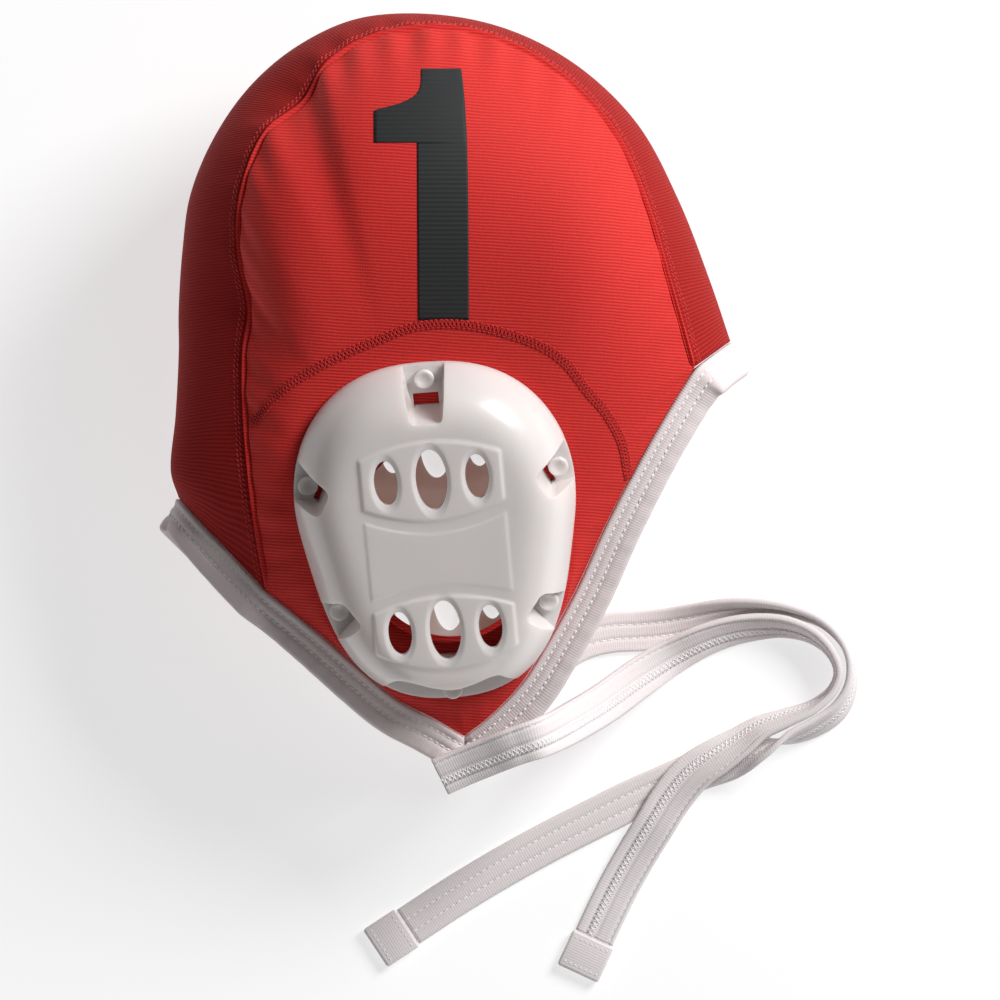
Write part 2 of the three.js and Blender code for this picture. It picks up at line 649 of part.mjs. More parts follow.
function flatRing(frame, width, thickness, shift) {
  const centre = frame.point.clone().addScaledVector(frame.tangent, shift);
  const at = (w, t) => centre.clone().addScaledVector(frame.across, w).addScaledVector(frame.face, t);
  const w = width / 2;
  const t = thickness / 2;
  const c = t * tieEdge;
  return [
    at(-w, -t + c), at(-w, t - c), at(-w + c, t), at(w - c, t),
    at(w, t - c), at(w, -t + c), at(w - c, -t), at(-w + c, -t),
  ].reverse();
}

function tape(route) {
  return loft(tapeFrames(route).map((frame) => flatRing(frame, tieWidth, tieThickness, 0)));
}

function tapeHem(route) {
  const end = tapeFrames(route).at(-1);
  end.point.setZ(hemThickness / 2 + (end.point.z - tieThickness / 2));
  return loft([seamGap, seamGap + hemLength].map((shift) => flatRing(end, hemWidth, hemThickness, shift)));
}

// The assembly

const cap = new THREE.Group();

function add(name, geometry, color, roughness, parent = cap) {
  const material = new THREE.MeshStandardMaterial({ color, roughness, metalness: 0 });
  const mesh = new THREE.Mesh(geometry, material);
  mesh.name = name;
  parent.add(mesh);
  return mesh;
}

add('right_side_panel', sidePanel('upper'), scarlet, 0.75);
add('left_side_panel', sidePanel('lower'), scarlet, 0.75);
add('crown_strip', crownStrip(), scarlet, 0.75);
add('front_binding', binding(true), white, 0.8);
add('rear_binding', binding(false), white, 0.8);

for (const [name, side] of [['right', 'upper'], ['left', 'lower']]) {
  const seat = seats[side];
  const stand = new THREE.Group();
  stand.rotation.order = 'XYZ';
  stand.rotation.set(seat.tilt, 0, 0);
  const turned = new THREE.Group();
  turned.rotation.set(0, side === 'upper' ? 0 : Math.PI, 0);
  const leaned = new THREE.Group();
  leaned.rotation.set(0, 0, radians(guardLean) * seat.up);
  leaned.position.set(0, 0, seamGap);
  stand.position.set(seat.x, seat.y, seat.z);
  stand.add(turned);
  turned.add(leaned);
  cap.add(stand);
  add(`${name}_ear_guard`, earGuard(), palePlastic, 0.3, leaned);
  pegPlaces().forEach(({ at }, i) => {
    const pin = add(`${name}_guard_peg_${i + 1}`, peg(), palePlastic, 0.35, leaned);
    pin.position.set(at.x, at.y, 0);
  });
}

add('right_tie', tape(upperTieRoute), white, 0.8);
add('right_tie_hem', tapeHem(upperTieRoute), white, 0.8);
add('left_tie', tape(lowerTieRoute), white, 0.8);
add('left_tie_hem', tapeHem(lowerTieRoute), white, 0.8);

// The origin lies on the surface under the middle of the cap without its tapes.
cap.updateMatrixWorld(true);
const reach = new THREE.Box3();
cap.traverse((piece) => {
  if (piece.isMesh && !piece.name.includes('_tie')) reach.expandByObject(piece, true);
});
const middle = reach.getCenter(vec(0, 0, 0));
cap.position.set(-middle.x, -middle.y, -reach.min.z);

export default cap;
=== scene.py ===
# Water polo cap: cloth shell, moulded ear guards, bound rim and chin ties.
# The cap lies on its left side, seen from straight above, as in the photograph.
# +X points to the forehead, +Y to the crown and +Z up.

# %% Setup
from math import atan2, copysign, cos, dist, exp, hypot, pi, radians, sin, sqrt, tan, tanh
import bpy
import bmesh
from bmesh import ops
from mathutils import Matrix, Vector
from mathutils.bvhtree import BVHTree


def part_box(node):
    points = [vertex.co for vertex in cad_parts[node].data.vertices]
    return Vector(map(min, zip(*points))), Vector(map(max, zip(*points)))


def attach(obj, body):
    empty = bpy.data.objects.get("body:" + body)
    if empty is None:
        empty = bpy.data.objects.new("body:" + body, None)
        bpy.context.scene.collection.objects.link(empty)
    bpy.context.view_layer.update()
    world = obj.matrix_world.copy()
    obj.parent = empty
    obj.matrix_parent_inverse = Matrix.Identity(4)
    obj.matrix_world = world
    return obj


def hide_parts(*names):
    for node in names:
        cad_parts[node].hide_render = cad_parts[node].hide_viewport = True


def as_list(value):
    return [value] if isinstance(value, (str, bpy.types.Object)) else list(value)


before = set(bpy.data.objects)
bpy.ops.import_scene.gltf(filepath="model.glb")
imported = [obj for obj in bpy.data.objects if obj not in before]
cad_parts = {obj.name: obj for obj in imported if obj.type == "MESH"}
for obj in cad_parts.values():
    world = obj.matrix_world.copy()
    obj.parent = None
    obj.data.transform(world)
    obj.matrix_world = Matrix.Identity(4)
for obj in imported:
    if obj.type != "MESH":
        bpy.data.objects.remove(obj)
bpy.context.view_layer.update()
MM = 0.001


def mm(x, y, z):
    return Vector((x, y, z)) * MM


def add_object(name, data):
    made = bpy.data.objects.new(name, data)
    bpy.context.collection.objects.link(made)
    return made


# %% [markdown]
# The camera looks straight down from 2.5 m with a long lens, because the picture shows hardly
# any perspective: the guard on top and the tie on the surface keep nearly the same scale.

# %% Camera
camera_height = 2500
camera_place = mm(16.5, -40.25, camera_height)
picture_level = 75  # height at which the picture spans its nominal width
picture_span = 380
camera_data = bpy.data.cameras.new("camera")
camera = add_object("camera", camera_data)
camera.location = camera_place
camera_data.sensor_width = 36
camera_data.lens = camera_data.sensor_width * (camera_height - picture_level) / picture_span
camera_data.clip_end = 20
bpy.context.scene.camera = camera
print("camera at", [round(c, 3) for c in camera_place])

# %% [markdown]
# Sizes. They repeat the ones that drive the drawn part, and the shift puts the origin under
# the middle of the cap, where the drawn part has it.

# %% Sizes in millimetres
cap_length, cap_height, cap_depth = 220, 282, 146
cloth_wall, seam_gap = 1.6, 0.35
binding_width, binding_thick = 14, 3.2
guard_width, guard_height, guard_depth, guard_wall = 110, 134, 22, 2
guard_square, guard_taper, guard_taper_rate, guard_lean = 2.4, 0.07, 3, 4.8
guard_tilt = radians(20)
guard_x, guard_y = -6, -55.47
upper_guard_rise = 102
ear_hole_width, ear_hole_height = 71, 82
ear_hole_ahead, ear_hole_drop = 2.5, 5
peg_inset, foot_peg_inset = 5.6, 3.9
pocket_width, pocket_reach, top_pocket_reach = 16.5, 7, 12
binding_flare = 0.5
panel_relief, panel_half = 0.8, 27
tie_width, tie_thickness = 16, 2.6
hem_length, hem_width, hem_thickness = 15, 17.5, 4.2

# x and y of the seam as shares of length and height, height of the upper and the lower seam as
# shares of depth, x and y of the crown strip's crest, and how steeply the panel falls at the seam
seam_rows = [
    (-0.326, -0.278, 0.59, 0.23, -0.481, -0.153, 0.6), (-0.348, -0.158, 0.67, 0.22, -0.493, -0.119, 0.8),
    (-0.360, -0.036, 0.72, 0.21, -0.484, -0.042, 0.7), (-0.359, 0.045, 0.75, 0.21, -0.478, 0.045, 0.7),
    (-0.349, 0.096, 0.77, 0.21, -0.478, 0.096, 0.7), (-0.367, 0.177, 0.79, 0.20, -0.471, 0.180, 0.8),
    (-0.360, 0.255, 0.81, 0.20, -0.457, 0.254, 0.9), (-0.319, 0.333, 0.80, 0.21, -0.414, 0.334, 1.0),
    (-0.257, 0.372, 0.78, 0.22, -0.350, 0.404, 1.1), (-0.217, 0.423, 0.77, 0.23, -0.267, 0.457, 1.2),
    (-0.141, 0.460, 0.75, 0.25, -0.164, 0.492, 1.3), (-0.026, 0.474, 0.75, 0.25, -0.026, 0.496, 1.3),
    (0.088, 0.454, 0.75, 0.25, 0.100, 0.474, 1.3), (0.191, 0.405, 0.77, 0.23, 0.216, 0.425, 1.2),
    (0.276, 0.330, 0.79, 0.23, 0.316, 0.348, 1.1), (0.329, 0.236, 0.79, 0.22, 0.386, 0.247, 1.0),
    (0.369, 0.131, 0.78, 0.23, 0.441, 0.137, 0.65), (0.410, 0.020, 0.74, 0.25, 0.476, 0.057, 0.4),
]

# x and y of the rim, its height on the upper and the lower side, and the fall there
front_rows = [
    (0.410, 0.020, 0.74, 0.25, 0.4), (0.336, -0.076, 0.73, 0.22, 0.4), (0.262, -0.184, 0.68, 0.19, 0.3),
    (0.207, -0.278, 0.615, 0.17, 0.3), (0.155, -0.352, 0.57, 0.158, 0.3),
    (0.112, -0.406, 0.535, 0.152, 0.3), (0.055, -0.452, 0.503, 0.115, 0.35),
    (0.0155, -0.476, 0.48, 0.105, 0.35),
]
rear_rows = [
    (0.0155, -0.476, 0.48, 0.105, 0.35), (-0.036, -0.452, 0.497, 0.14, 0.35),
    (-0.095, -0.428, 0.515, 0.156, 0.4), (-0.147, -0.395, 0.54, 0.159, 0.4),
    (-0.2155, -0.348, 0.565, 0.165, 0.5), (-0.276, -0.309, 0.58, 0.195, 0.7),
    (-0.326, -0.278, 0.59, 0.23, 0.6),
]

# x, y and height of points along each tie, and its roll in degrees
right_tie_route = [
    (-5.8, -149.8, 69.5, 20), (3.0, -145.9, 70.5, 20), (12.2, -142.1, 73, 20), (22.8, -137.9, 76.4, 20),
    (34.3, -134.0, 73.6, 14), (46.0, -129.3, 44, 0), (57.8, -123.0, 25, 0), (70.9, -114.1, 11, 8),
    (82.8, -106.5, 5, 25), (95.3, -99.8, 6, 38), (106.2, -95.9, 6.5, 45), (117.5, -93.9, 7, 52),
    (128.4, -93.9, 7.6, 62), (138.9, -97.4, 8.2, 74), (145.9, -103.6, 8.6, 84), (149.1, -111.4, 8.6, 88),
    (146.7, -118.5, 8.6, 86), (138.9, -125.1, 8.6, 80), (128.4, -129.4, 8.5, 70), (118.6, -133.3, 8.2, 60),
    (110.0, -139.2, 8, 45), (101.4, -144.6, 8, 28), (92.9, -150.5, 7.2, 15), (84.4, -160.5, 5.8, 4),
    (77.8, -171.1, 4.8, 0), (71.1, -182.1, 2.8, 0), (64.5, -193.8, 1.7, 0), (59.0, -204.8, 1.7, 0),
    (53.9, -215.7, 1.7, 0),
]
left_tie_route = [
    (-0.5, -147.7, 9, 0), (9.3, -137.4, 4, 0), (19.1, -125.7, 1.7, 0), (28.8, -114.7, 1.7, 0),
    (39.0, -105.0, 1.7, 0), (49.2, -99.1, 1.7, 0), (60.2, -96.3, 1.7, 0), (71.9, -95.6, 1.7, 0),
    (82.8, -94.4, 2.5, 6), (93.7, -92.0, 4.4, 20), (105.0, -88.8, 6.4, 42), (117.5, -87.2, 7.8, 60),
    (130.3, -88.0, 8.4, 75), (142.0, -91.9, 8.6, 84), (149.8, -98.9, 8.6, 90), (153.8, -107.5, 8.6, 96),
    (153.8, -117.7, 8.4, 106), (149.1, -126.7, 8.2, 116), (140.2, -132.9, 8.2, 116),
    (129.7, -137.3, 8.2, 104), (118.8, -141.3, 8, 60), (107.1, -146.1, 4.6, 18), (95.4, -150.0, 1.8, 3),
    (82.9, -155.5, 1.7, 0), (68.8, -161.7, 1.7, 0), (52.3, -169.9, 1.7, 0), (34.7, -178.9, 1.7, 0),
    (17.1, -188.7, 1.7, 0), (-0.5, -199.3, 1.7, 0), (-18.9, -211.4, 1.7, 0),
]


def spline(rows, share):
    """Point of the smooth line through rows; their first two numbers set its spacing"""
    along = min(max(share, 0), 1) * (len(rows) - 1)
    low = min(int(along), len(rows) - 2)
    t = along - low
    p1, p2 = rows[low], rows[low + 1]
    p0 = rows[low - 1] if low > 0 else tuple(2 * a - b for a, b in zip(p1, p2))
    p3 = rows[low + 2] if low + 2 < len(rows) else tuple(2 * b - a for a, b in zip(p1, p2))
    a, b, c = (max(dist(p[:2], q[:2]), 1e-6) ** 0.5 for p, q in ((p0, p1), (p1, p2), (p2, p3)))
    out = []
    for x0, x1, x2, x3 in zip(p0, p1, p2, p3):
        t1 = ((x1 - x0) / a - (x2 - x0) / (a + b) + (x2 - x1) / b) * b
        t2 = ((x2 - x1) / b - (x3 - x1) / (b + c) + (x3 - x2) / c) * b
        c2 = -3 * x1 + 3 * x2 - 2 * t1 - t2
        c3 = 2 * x1 - 2 * x2 + t1 + t2
        out.append(x1 + t1 * t + c2 * t * t + c3 * t ** 3)
    return out


def crest_at(share):
    crest = spline([(row[4] * cap_length, row[5] * cap_height) for row in seam_rows], share)
    return Vector((crest[0], crest[1]))


seam_steps = (len(seam_rows) - 1) * 2
drawn_crest = [crest_at(i / seam_steps) for i in range(seam_steps + 1)]
strip_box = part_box("crown_strip")
shift = Vector((strip_box[0].x / MM - min(p.x for p in drawn_crest),
                strip_box[1].y / MM - max(p.y for p in drawn_crest), 0))
print("shift of the drawing to the origin", [round(c, 2) for c in shift])


# %% [markdown]
# Helpers. Most pieces are a grid laid over a rectangle and then shaped point by point, which
# keeps the faces even and gives a map of lengths for the cloth pattern.

# %% Helpers
def smooth(value):
    value = min(max(value, 0), 1)
    return value * value * (3 - 2 * value)


def ridge(value, place, width):
    """1 at a place and falling off softly on both sides"""
    return exp(-((value - place) / width) ** 2)


def shaped_grid(points, lengths, wrap=False):
    """Mesh from rows of points; lengths gives each point's place in the cloth pattern"""
    rows, columns = len(points) - 1, len(points[0]) - 1
    bm = bmesh.new()
    uv = bm.loops.layers.uv.new("lay")
    ops.create_grid(bm, x_segments=columns, y_segments=rows, size=0.5)
    for face in bm.faces:
        for loop in face.loops:
            i = round((loop.vert.co.x + 0.5) * columns)
            j = round((loop.vert.co.y + 0.5) * rows)
            loop[uv].uv = [c * MM for c in lengths[j][i]]
    for vert in bm.verts:
        i = round((vert.co.x + 0.5) * columns)
        j = round((vert.co.y + 0.5) * rows)
        vert.co = points[j][i] * MM
    if wrap:
        ops.remove_doubles(bm, verts=bm.verts, dist=1e-7)
    return bm


def add_piece(name, bm, material, replaces=(), wall=None, sharp=None):
    mesh = bpy.data.meshes.new(name)
    bm.to_mesh(mesh)
    bm.free()
    mesh.materials.append(material)
    mesh.shade_smooth()
    if sharp:
        mesh.set_sharp_from_angle(angle=radians(sharp))
    piece = add_object(name, mesh)
    if wall:
        solidify = piece.modifiers.new("wall", "SOLIDIFY")
        solidify.thickness = wall * MM
        solidify.offset = -1
    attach(piece, "root")
    if replaces:
        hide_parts(*replaces)
    print(name, len(mesh.vertices), "points")
    return piece


def ring_normals(rings):
    """Normals of a grid whose rows each end where they start"""
    rows, columns = len(rings), len(rings[0])
    normals = []
    for j, ring in enumerate(rings):
        row = []
        for i in range(columns):
            before = ring[i - 1] if i > 0 else ring[-2]
            after = ring[i + 1] if i < columns - 1 else ring[1]
            up = rings[min(j + 1, rows - 1)][i] - rings[max(j - 1, 0)][i]
            row.append((after - before).cross(up).normalized())
        normals.append(row)
    return normals


def lengths_of(points):
    """Running length of a line of points"""
    out = [0.0]
    for a, b in zip(points, points[1:]):
        out.append(out[-1] + (b - a).length)
    return out


def steps_along(even, targets):
    """Index and share of each rising length in a list of running lengths"""
    j = 0
    for target in targets:
        while j < len(even) - 2 and even[j + 1] < target:
            j += 1
        yield j, (target - even[j]) / max(even[j + 1] - even[j], 1e-6)


def close_up(bm):
    ops.holes_fill(bm, edges=[edge for edge in bm.edges if edge.is_boundary], sides=0)
    ops.recalc_face_normals(bm, faces=bm.faces)


def tube(rings, lengths):
    bm = shaped_grid(rings, lengths)
    ops.remove_doubles(bm, verts=bm.verts, dist=1e-6)
    close_up(bm)
    return bm


# %% [markdown]
# Materials. The cap is a ribbed knit in scarlet: fine ribs with a small knit relief, a little
# sheen, and darker in the grooves, which is painted shade, with a random tone on top. Sine waves
# along a length make the ribs, because they stay even however the cloth bends. The crown strip
# is the same knit painted darker all over, as painted shade. Binding and ties are white woven
# tape with fine cross ribs. The guards are moulded in a white plastic that lets some light
# through.

# %% Materials
rib_pitch, knit_pitch, print_rib_pitch = 1.18, 0.9, 1.7
tape_rib_pitch, tape_yarn_pitch = 1.0, 0.8


def node(tree, kind, inputs=None, **settings):
    made = tree.nodes.new("ShaderNode" + kind)
    for key, value in settings.items():
        setattr(made, key, value)
    for key, value in (inputs or {}).items():
        if hasattr(value, "links"):
            tree.links.new(value, made.inputs[key])
        else:
            made.inputs[key].default_value = value
    return made


def plain_material(name, color, roughness, **more):
    material = bpy.data.materials.new(name)
    material.use_nodes = True
    shader = material.node_tree.nodes["Principled BSDF"]
    more.update(Base_Color=(*color, 1), Roughness=roughness)
    for key, value in more.items():
        shader.inputs[key.replace("_", " ")].default_value = value
    return material, material.node_tree, shader


def math_node(tree, operation, a, b=0.0, c=0.0):
    return node(tree, "Math", {0: a, 1: b, 2: c}, operation=operation).outputs[0]


def noise(tree, place, scale, detail):
    settings = {"Vector": place, "Scale": scale, "Detail": detail}
    return node(tree, "TexNoise", settings).outputs[0]


def wave(tree, coordinate, pitch):
    """Goes from 0 to 1 and back once per pitch, in metres"""
    turn = math_node(tree, "MULTIPLY", coordinate, 2 * pi / pitch)
    return math_node(tree, "MULTIPLY_ADD", math_node(tree, "SINE", turn), 0.5, 0.5)


def bumps(tree, shader, strength, distance, height):
    made = node(tree, "Bump", {"Strength": strength, "Distance": distance, "Height": height})
    tree.links.new(made.outputs[0], shader.inputs["Normal"])


def ribbed_cloth(name, by_uv, painted_shade, gloss):
    """Ribs follow the piece's own map of lengths, or lie straight across the cap"""
    material, tree, shader = plain_material(
        name, (0.5, 0.02, 0.02), 0.75, Sheen_Weight=0.4 * gloss, Sheen_Tint=(1, 0.45, 0.4, 1),
        Specular_IOR_Level=gloss)
    if by_uv:
        place = node(tree, "UVMap", uv_map="lay").outputs[0]
    else:
        place = node(tree, "TexCoord").outputs["Object"]
    parts = node(tree, "SeparateXYZ", {0: place})
    across, along = parts.outputs[0 if by_uv else 1], parts.outputs[1 if by_uv else 0]
    wander = noise(tree, place, 60.0, 2.0)
    bent = math_node(tree, "MULTIPLY_ADD", wander, 0.0012, across)
    bent = math_node(tree, "MULTIPLY_ADD", along, 0.06, bent)
    rib = wave(tree, bent, rib_pitch * MM)
    knit = wave(tree, along, knit_pitch * MM)
    fluff = noise(tree, place, 900.0, 3.0)
    height = math_node(tree, "MULTIPLY_ADD", knit, 0.12, rib)
    height = math_node(tree, "MULTIPLY_ADD", fluff, 0.5, height)
    # The ramp paints the rib grooves darker as painted shade; the fluff noise adds a random tone.
    ramp = node(tree, "ValToRGB", {0: math_node(tree, "MULTIPLY", height, 0.6)})
    # Both ends of the ramp are scaled by the factor for painted shade, which darkens the whole cloth.
    ramp.color_ramp.elements[0].color = (0.46 * painted_shade, 0.008 * painted_shade, 0.008 * painted_shade, 1)
    ramp.color_ramp.elements[1].color = (0.84 * painted_shade, 0.050 * painted_shade, 0.042 * painted_shade, 1)
    tree.links.new(ramp.outputs[0], shader.inputs["Base Color"])
    bumps(tree, shader, 0.35, 0.0003, height)
    return material


def woven_tape(name, color, strength):
    material, tree, shader = plain_material(name, color, 0.8, Specular_IOR_Level=0.1)
    place = node(tree, "UVMap", uv_map="lay").outputs[0]
    parts = node(tree, "SeparateXYZ", {0: place})
    rib = wave(tree, parts.outputs[0], tape_rib_pitch * MM)
    yarn = wave(tree, parts.outputs[1], tape_yarn_pitch * MM)
    fluff = noise(tree, place, 700.0, 2.0)
    height = math_node(tree, "MULTIPLY_ADD", yarn, 0.3, rib)
    height = math_node(tree, "MULTIPLY_ADD", fluff, 0.6, height)
    bumps(tree, shader, strength, 0.0003, height)
    return material


panel_cloth = ribbed_cloth("panel_cloth", by_uv=False, painted_shade=1.0, gloss=0.25)
# The crown strip's cloth is painted darker all over, at 0.52, as painted shade.
strip_cloth = ribbed_cloth("strip_cloth", by_uv=True, painted_shade=0.52, gloss=0.08)
binding_tape = woven_tape("binding_tape", (0.77, 0.68, 0.68), strength=0.22)
tie_tape = woven_tape("tie_tape", (0.80, 0.745, 0.745), strength=0.2)
red_thread = plain_material("red_thread", (0.62, 0.03, 0.03), 0.6)[0]
white_thread = plain_material("white_thread", (0.86, 0.84, 0.86), 0.6)[0]
arc_thread = plain_material("arc_thread", (0.52, 0.016, 0.014), 0.8)[0]
print_black, black_tree, black_shader = plain_material("print_black", (0.017, 0.018, 0.019), 0.75)
black_place = node(black_tree, "TexCoord").outputs["Object"]
black_parts = node(black_tree, "SeparateXYZ", {0: black_place})
black_rib = wave(black_tree, black_parts.outputs[1], print_rib_pitch * MM)
bumps(black_tree, black_shader, 0.3, 0.0004, black_rib)
guard_plastic, guard_tree, guard_shader = plain_material(
    "guard_plastic", (0.80, 0.745, 0.725), 0.25, Subsurface_Weight=0.6,
    Subsurface_Radius=(1.0, 0.8, 0.7), Subsurface_Scale=0.006, Coat_Weight=0.25)
guard_place = node(guard_tree, "TexCoord").outputs["Object"]
bumps(guard_tree, guard_shader, 0.12, 0.001, noise(guard_tree, guard_place, 70.0, 2.0))
print(len(bpy.data.materials), "materials")


# %% [markdown]
# Side panels. On the real cap each is cut flat from ribbed knit with a hole for the ear, and
# sewn to the crown strip with the seam turned inward, which leaves a soft welt with a ditch
# beside it. Here each is a fan of lines from the ear hole out to the seam and the rim.

# %% Outlines and edges of the side panels
outline_steps = 160
seam_count, front_count, rear_count = 340, 110, 100


def guard_outline(inset, count):
    high = guard_height / 2 - inset
    outline = []
    for i in range(count):
        turn = 2 * pi * i / count
        lift = copysign(abs(sin(turn)) ** (2 / guard_square), sin(turn))
        reach = copysign(abs(cos(turn)) ** (2 / guard_square), cos(turn))
        share = 1 - guard_taper * (1 - tanh(guard_taper_rate * lift))
        half = max(guard_width / 2 * share - inset, 0)
        outline.append(Vector((reach * half, lift * max(high, 0))))
    return outline


def outline_radius(outline, direction):
    for a, b in zip(outline, outline[1:] + outline[:1]):
        turn_a = a.x * direction.y - a.y * direction.x
        turn_b = b.x * direction.y - b.y * direction.x
        if turn_a >= 0 > turn_b:
            return a.lerp(b, turn_a / (turn_a - turn_b)).dot(direction)
    return outline[0].length


level_shift = guard_height / 2 * (1 - cos(guard_tilt))
seats = {
    "upper": (guard_x, guard_y, upper_guard_rise, guard_tilt),
    "lower": (guard_x, guard_y + level_shift, guard_depth + panel_relief + seam_gap, 0),
}
guard_edge = guard_outline(0, outline_steps)
hole_edge = []
for step in range(outline_steps):
    turn = 2 * pi * step / outline_steps
    hole_edge.append(Vector((ear_hole_ahead + cos(turn) * ear_hole_width / 2,
                             -ear_hole_drop + sin(turn) * ear_hole_height / 2)))


def plan_radius(tilt, outline, angle):
    """Distance in plan to an outline given in the guard's plane"""
    flat = Vector((cos(angle), sin(angle) / cos(tilt)))
    lean = radians(guard_lean)
    turned = Vector((flat.x * cos(lean) + flat.y * sin(lean),
                     -flat.x * sin(lean) + flat.y * cos(lean)))
    return outline_radius(outline, turned.normalized()) / turned.length


def edge_table(rows, side):
    pick = 2 if side == "upper" else 3
    return [(row[0] * cap_length, row[1] * cap_height, row[pick] * cap_depth, row[-1]) for row in rows]


def edge_stations(side):
    """Points of a side panel's edge with its slope, and whether it is the seam (1) or the rim (0)"""
    stations = []
    parts = ((seam_rows, seam_count, 1), (front_rows, front_count, 0), (rear_rows, rear_count, 0))
    for rows, count, is_seam in parts:
        table = edge_table(rows, side)
        for i in range(count):
            x, y, z, fall = spline(table, i / count)
            stations.append((Vector((x, y, z)) + shift, fall, is_seam))
    return stations + stations[:1]


print("seam has", seam_count, "stations, rims", front_count, "and", rear_count)

# %% [markdown]
# The cloth lies flat round the guard and then swells out to its edge in one smooth curve, whose
# slope at both ends is given. Beside the seam it gets the welt, the ditch and small puckers,
# which the tension of the thread draws in on the real cap.

# %% Side panels
flat_rings, panel_rings = 5, 48
welt_height, welt_place, welt_width = 0.9, 0.4, 0.4
ditch_depth, ditch_place, ditch_width = 1.1, 1.3, 0.4
fade_length, pucker_reach = 10, 13


def pucker(at, depth):
    """Small folds beside the seam, deeper where the seam is drawn tight over the crown"""
    tight = 0.30 + 0.45 * ridge(at, 235, 60) + 0.2 * ridge(at, 60, 50)
    folds = sin(at / 2.35 + 1.1 * sin(at / 21)) + 0.6 * sin(at / 4.1 + 0.7)
    return tight * folds * ridge(depth, 0, pucker_reach) * (1 - ridge(depth, 0, 2.2))


def panel_points(side):
    seat_x, seat_y, seat_z, tilt = seats[side]
    seat_x, seat_y = seat_x + shift.x, seat_y + shift.y
    stations = edge_stations(side)
    along = lengths_of([station[0] for station in stations])
    columns, depths = [], []
    for place, fall, is_seam in stations:
        angle = atan2(place.y - seat_y, place.x - seat_x)
        reach = hypot(place.x - seat_x, place.y - seat_y)
        hole = plan_radius(tilt, hole_edge, angle)
        flat = min(plan_radius(tilt, guard_edge, angle) + 1.5, reach - 1)
        run = reach - flat

        def height(radius):
            return seat_z + sin(angle) * radius * tan(tilt)

        leave = tan(tilt) * sin(angle) if side == "upper" else -0.6
        arrive = -fall if side == "upper" else fall * 1.2
        column, depth = [], []
        for k in range(flat_rings):
            radius = hole + (flat - hole) * k / flat_rings
            column.append((radius, height(radius)))
            depth.append(reach - radius)
        for k in range(panel_rings + 1):
            s = 1 - (1 - k / panel_rings) ** 2
            s2, s3 = s ** 2, s ** 3
            swell = ((2 * s3 - 3 * s2 + 1) * height(flat) + (s3 - 2 * s2 + s) * run * leave
                     + (-2 * s3 + 3 * s2) * place.z + (s3 - s2) * run * arrive)
            column.append((flat + run * s, max(swell, 0)))
            depth.append(run * (1 - s))
        columns.append([Vector((seat_x + cos(angle) * r, seat_y + sin(angle) * r, z))
                        for r, z in column])
        depths.append(depth)
    rings = [list(ring) for ring in zip(*columns)]
    normals = ring_normals(rings)
    seam_total = max(length for length, station in zip(along, stations) if station[2])
    out = 1 if side == "upper" else -1
    if normals[flat_rings + 3][0].z * out < 0:
        out = -out
    for j, ring in enumerate(rings):
        for i, point in enumerate(ring):
            depth = depths[i][j]
            is_seam = stations[i][2]
            near = min(depths[i][flat_rings] / 14, 1)
            lift = 0.0
            if j > flat_rings and is_seam:
                lift = welt_height * ridge(depth, welt_place, welt_width)
                lift -= ditch_depth * ridge(depth, ditch_place, ditch_width)
                fade = smooth(min(along[i], seam_total - along[i]) / fade_length)
                lift = (lift + pucker(along[i], depth)) * near * fade
            elif j > flat_rings:
                lift = 0.5 * pucker(along[i] * 1.3, depth) * near
            moved = point + normals[j][i] * (lift * out)
            ring[i] = Vector((moved.x, moved.y, max(moved.z, 0)))
    lengths = [list(zip(along, row)) for row in zip(*depths)]
    return rings, lengths


for side, name in (("upper", "right_side_panel"), ("lower", "left_side_panel")):
    rings, lengths = panel_points(side)
    bm = shaped_grid(rings, lengths, wrap=True)
    bm.normal_update()
    up = sum(face.normal.z for face in bm.faces)
    if (up > 0) != (side == "upper"):
        ops.reverse_faces(bm, faces=bm.faces)
    bm.normal_update()
    if side == "upper":
        upper_panel = BVHTree.FromBMesh(bm)
    piece = add_piece(name, bm, panel_cloth, [name], wall=cloth_wall)

# %% [markdown]
# Crown strip. One long gore of the same knit runs from the nape over the crown to the
# forehead. Its ribs run across it, and two rows of overlock stitches show beside each seam.
# It is a grid of bowed lines from seam to seam, and its edges tuck in under the panels.

# %% Crown strip
strip_rows, strip_count = 44, 260
strip_roundness = 2.2
seam_tuck, seam_dip, seam_dip_width = 0.9, 0.5, 0.9
strip_points, strip_lengths = [], []
seam_xyz = [(row[0] * cap_length, row[1] * cap_height, row[2] * cap_depth, row[3] * cap_depth)
            for row in seam_rows]
run_along = 0.0
previous = None
for station in range(strip_count + 1):
    share = station / strip_count
    x, y, upper_z, lower_z = spline(seam_xyz, share)
    crest = crest_at(share)
    bulge = crest - Vector((x, y))
    line = []
    for k in range(strip_rows + 1):
        across = cos(pi * k / strip_rows) * 0.35 + (1 - 2 * k / strip_rows) * 0.65
        out = 1 - abs(across) ** strip_roundness
        line.append(Vector((x + bulge.x * out, y + bulge.y * out,
                            lower_z + (upper_z - lower_z) * (across + 1) / 2)) + shift)
    run_along += (line[strip_rows // 2] - previous).length if previous else 0
    previous = line[strip_rows // 2]
    widths = lengths_of(line)
    for k, point in enumerate(line):
        depth = min(widths[k], widths[-1] - widths[k])
        sideways = (line[min(k + 1, strip_rows)] - line[max(k - 1, 0)]).normalized()
        outward = bulge.to_3d().normalized()
        outward = (outward - sideways * outward.dot(sideways)).normalized()
        lift = 0.6 * pucker(run_along * 1.07 + 9, depth) - seam_dip * ridge(depth, 0, seam_dip_width)
        line[k] = point + outward * lift
        if k in (0, strip_rows):
            beyond = -sideways if k == 0 else sideways
            line[k] += beyond * seam_tuck - outward * seam_dip
    strip_points.append(line)
    strip_lengths.append([(run_along, w - widths[-1] / 2) for w in widths])
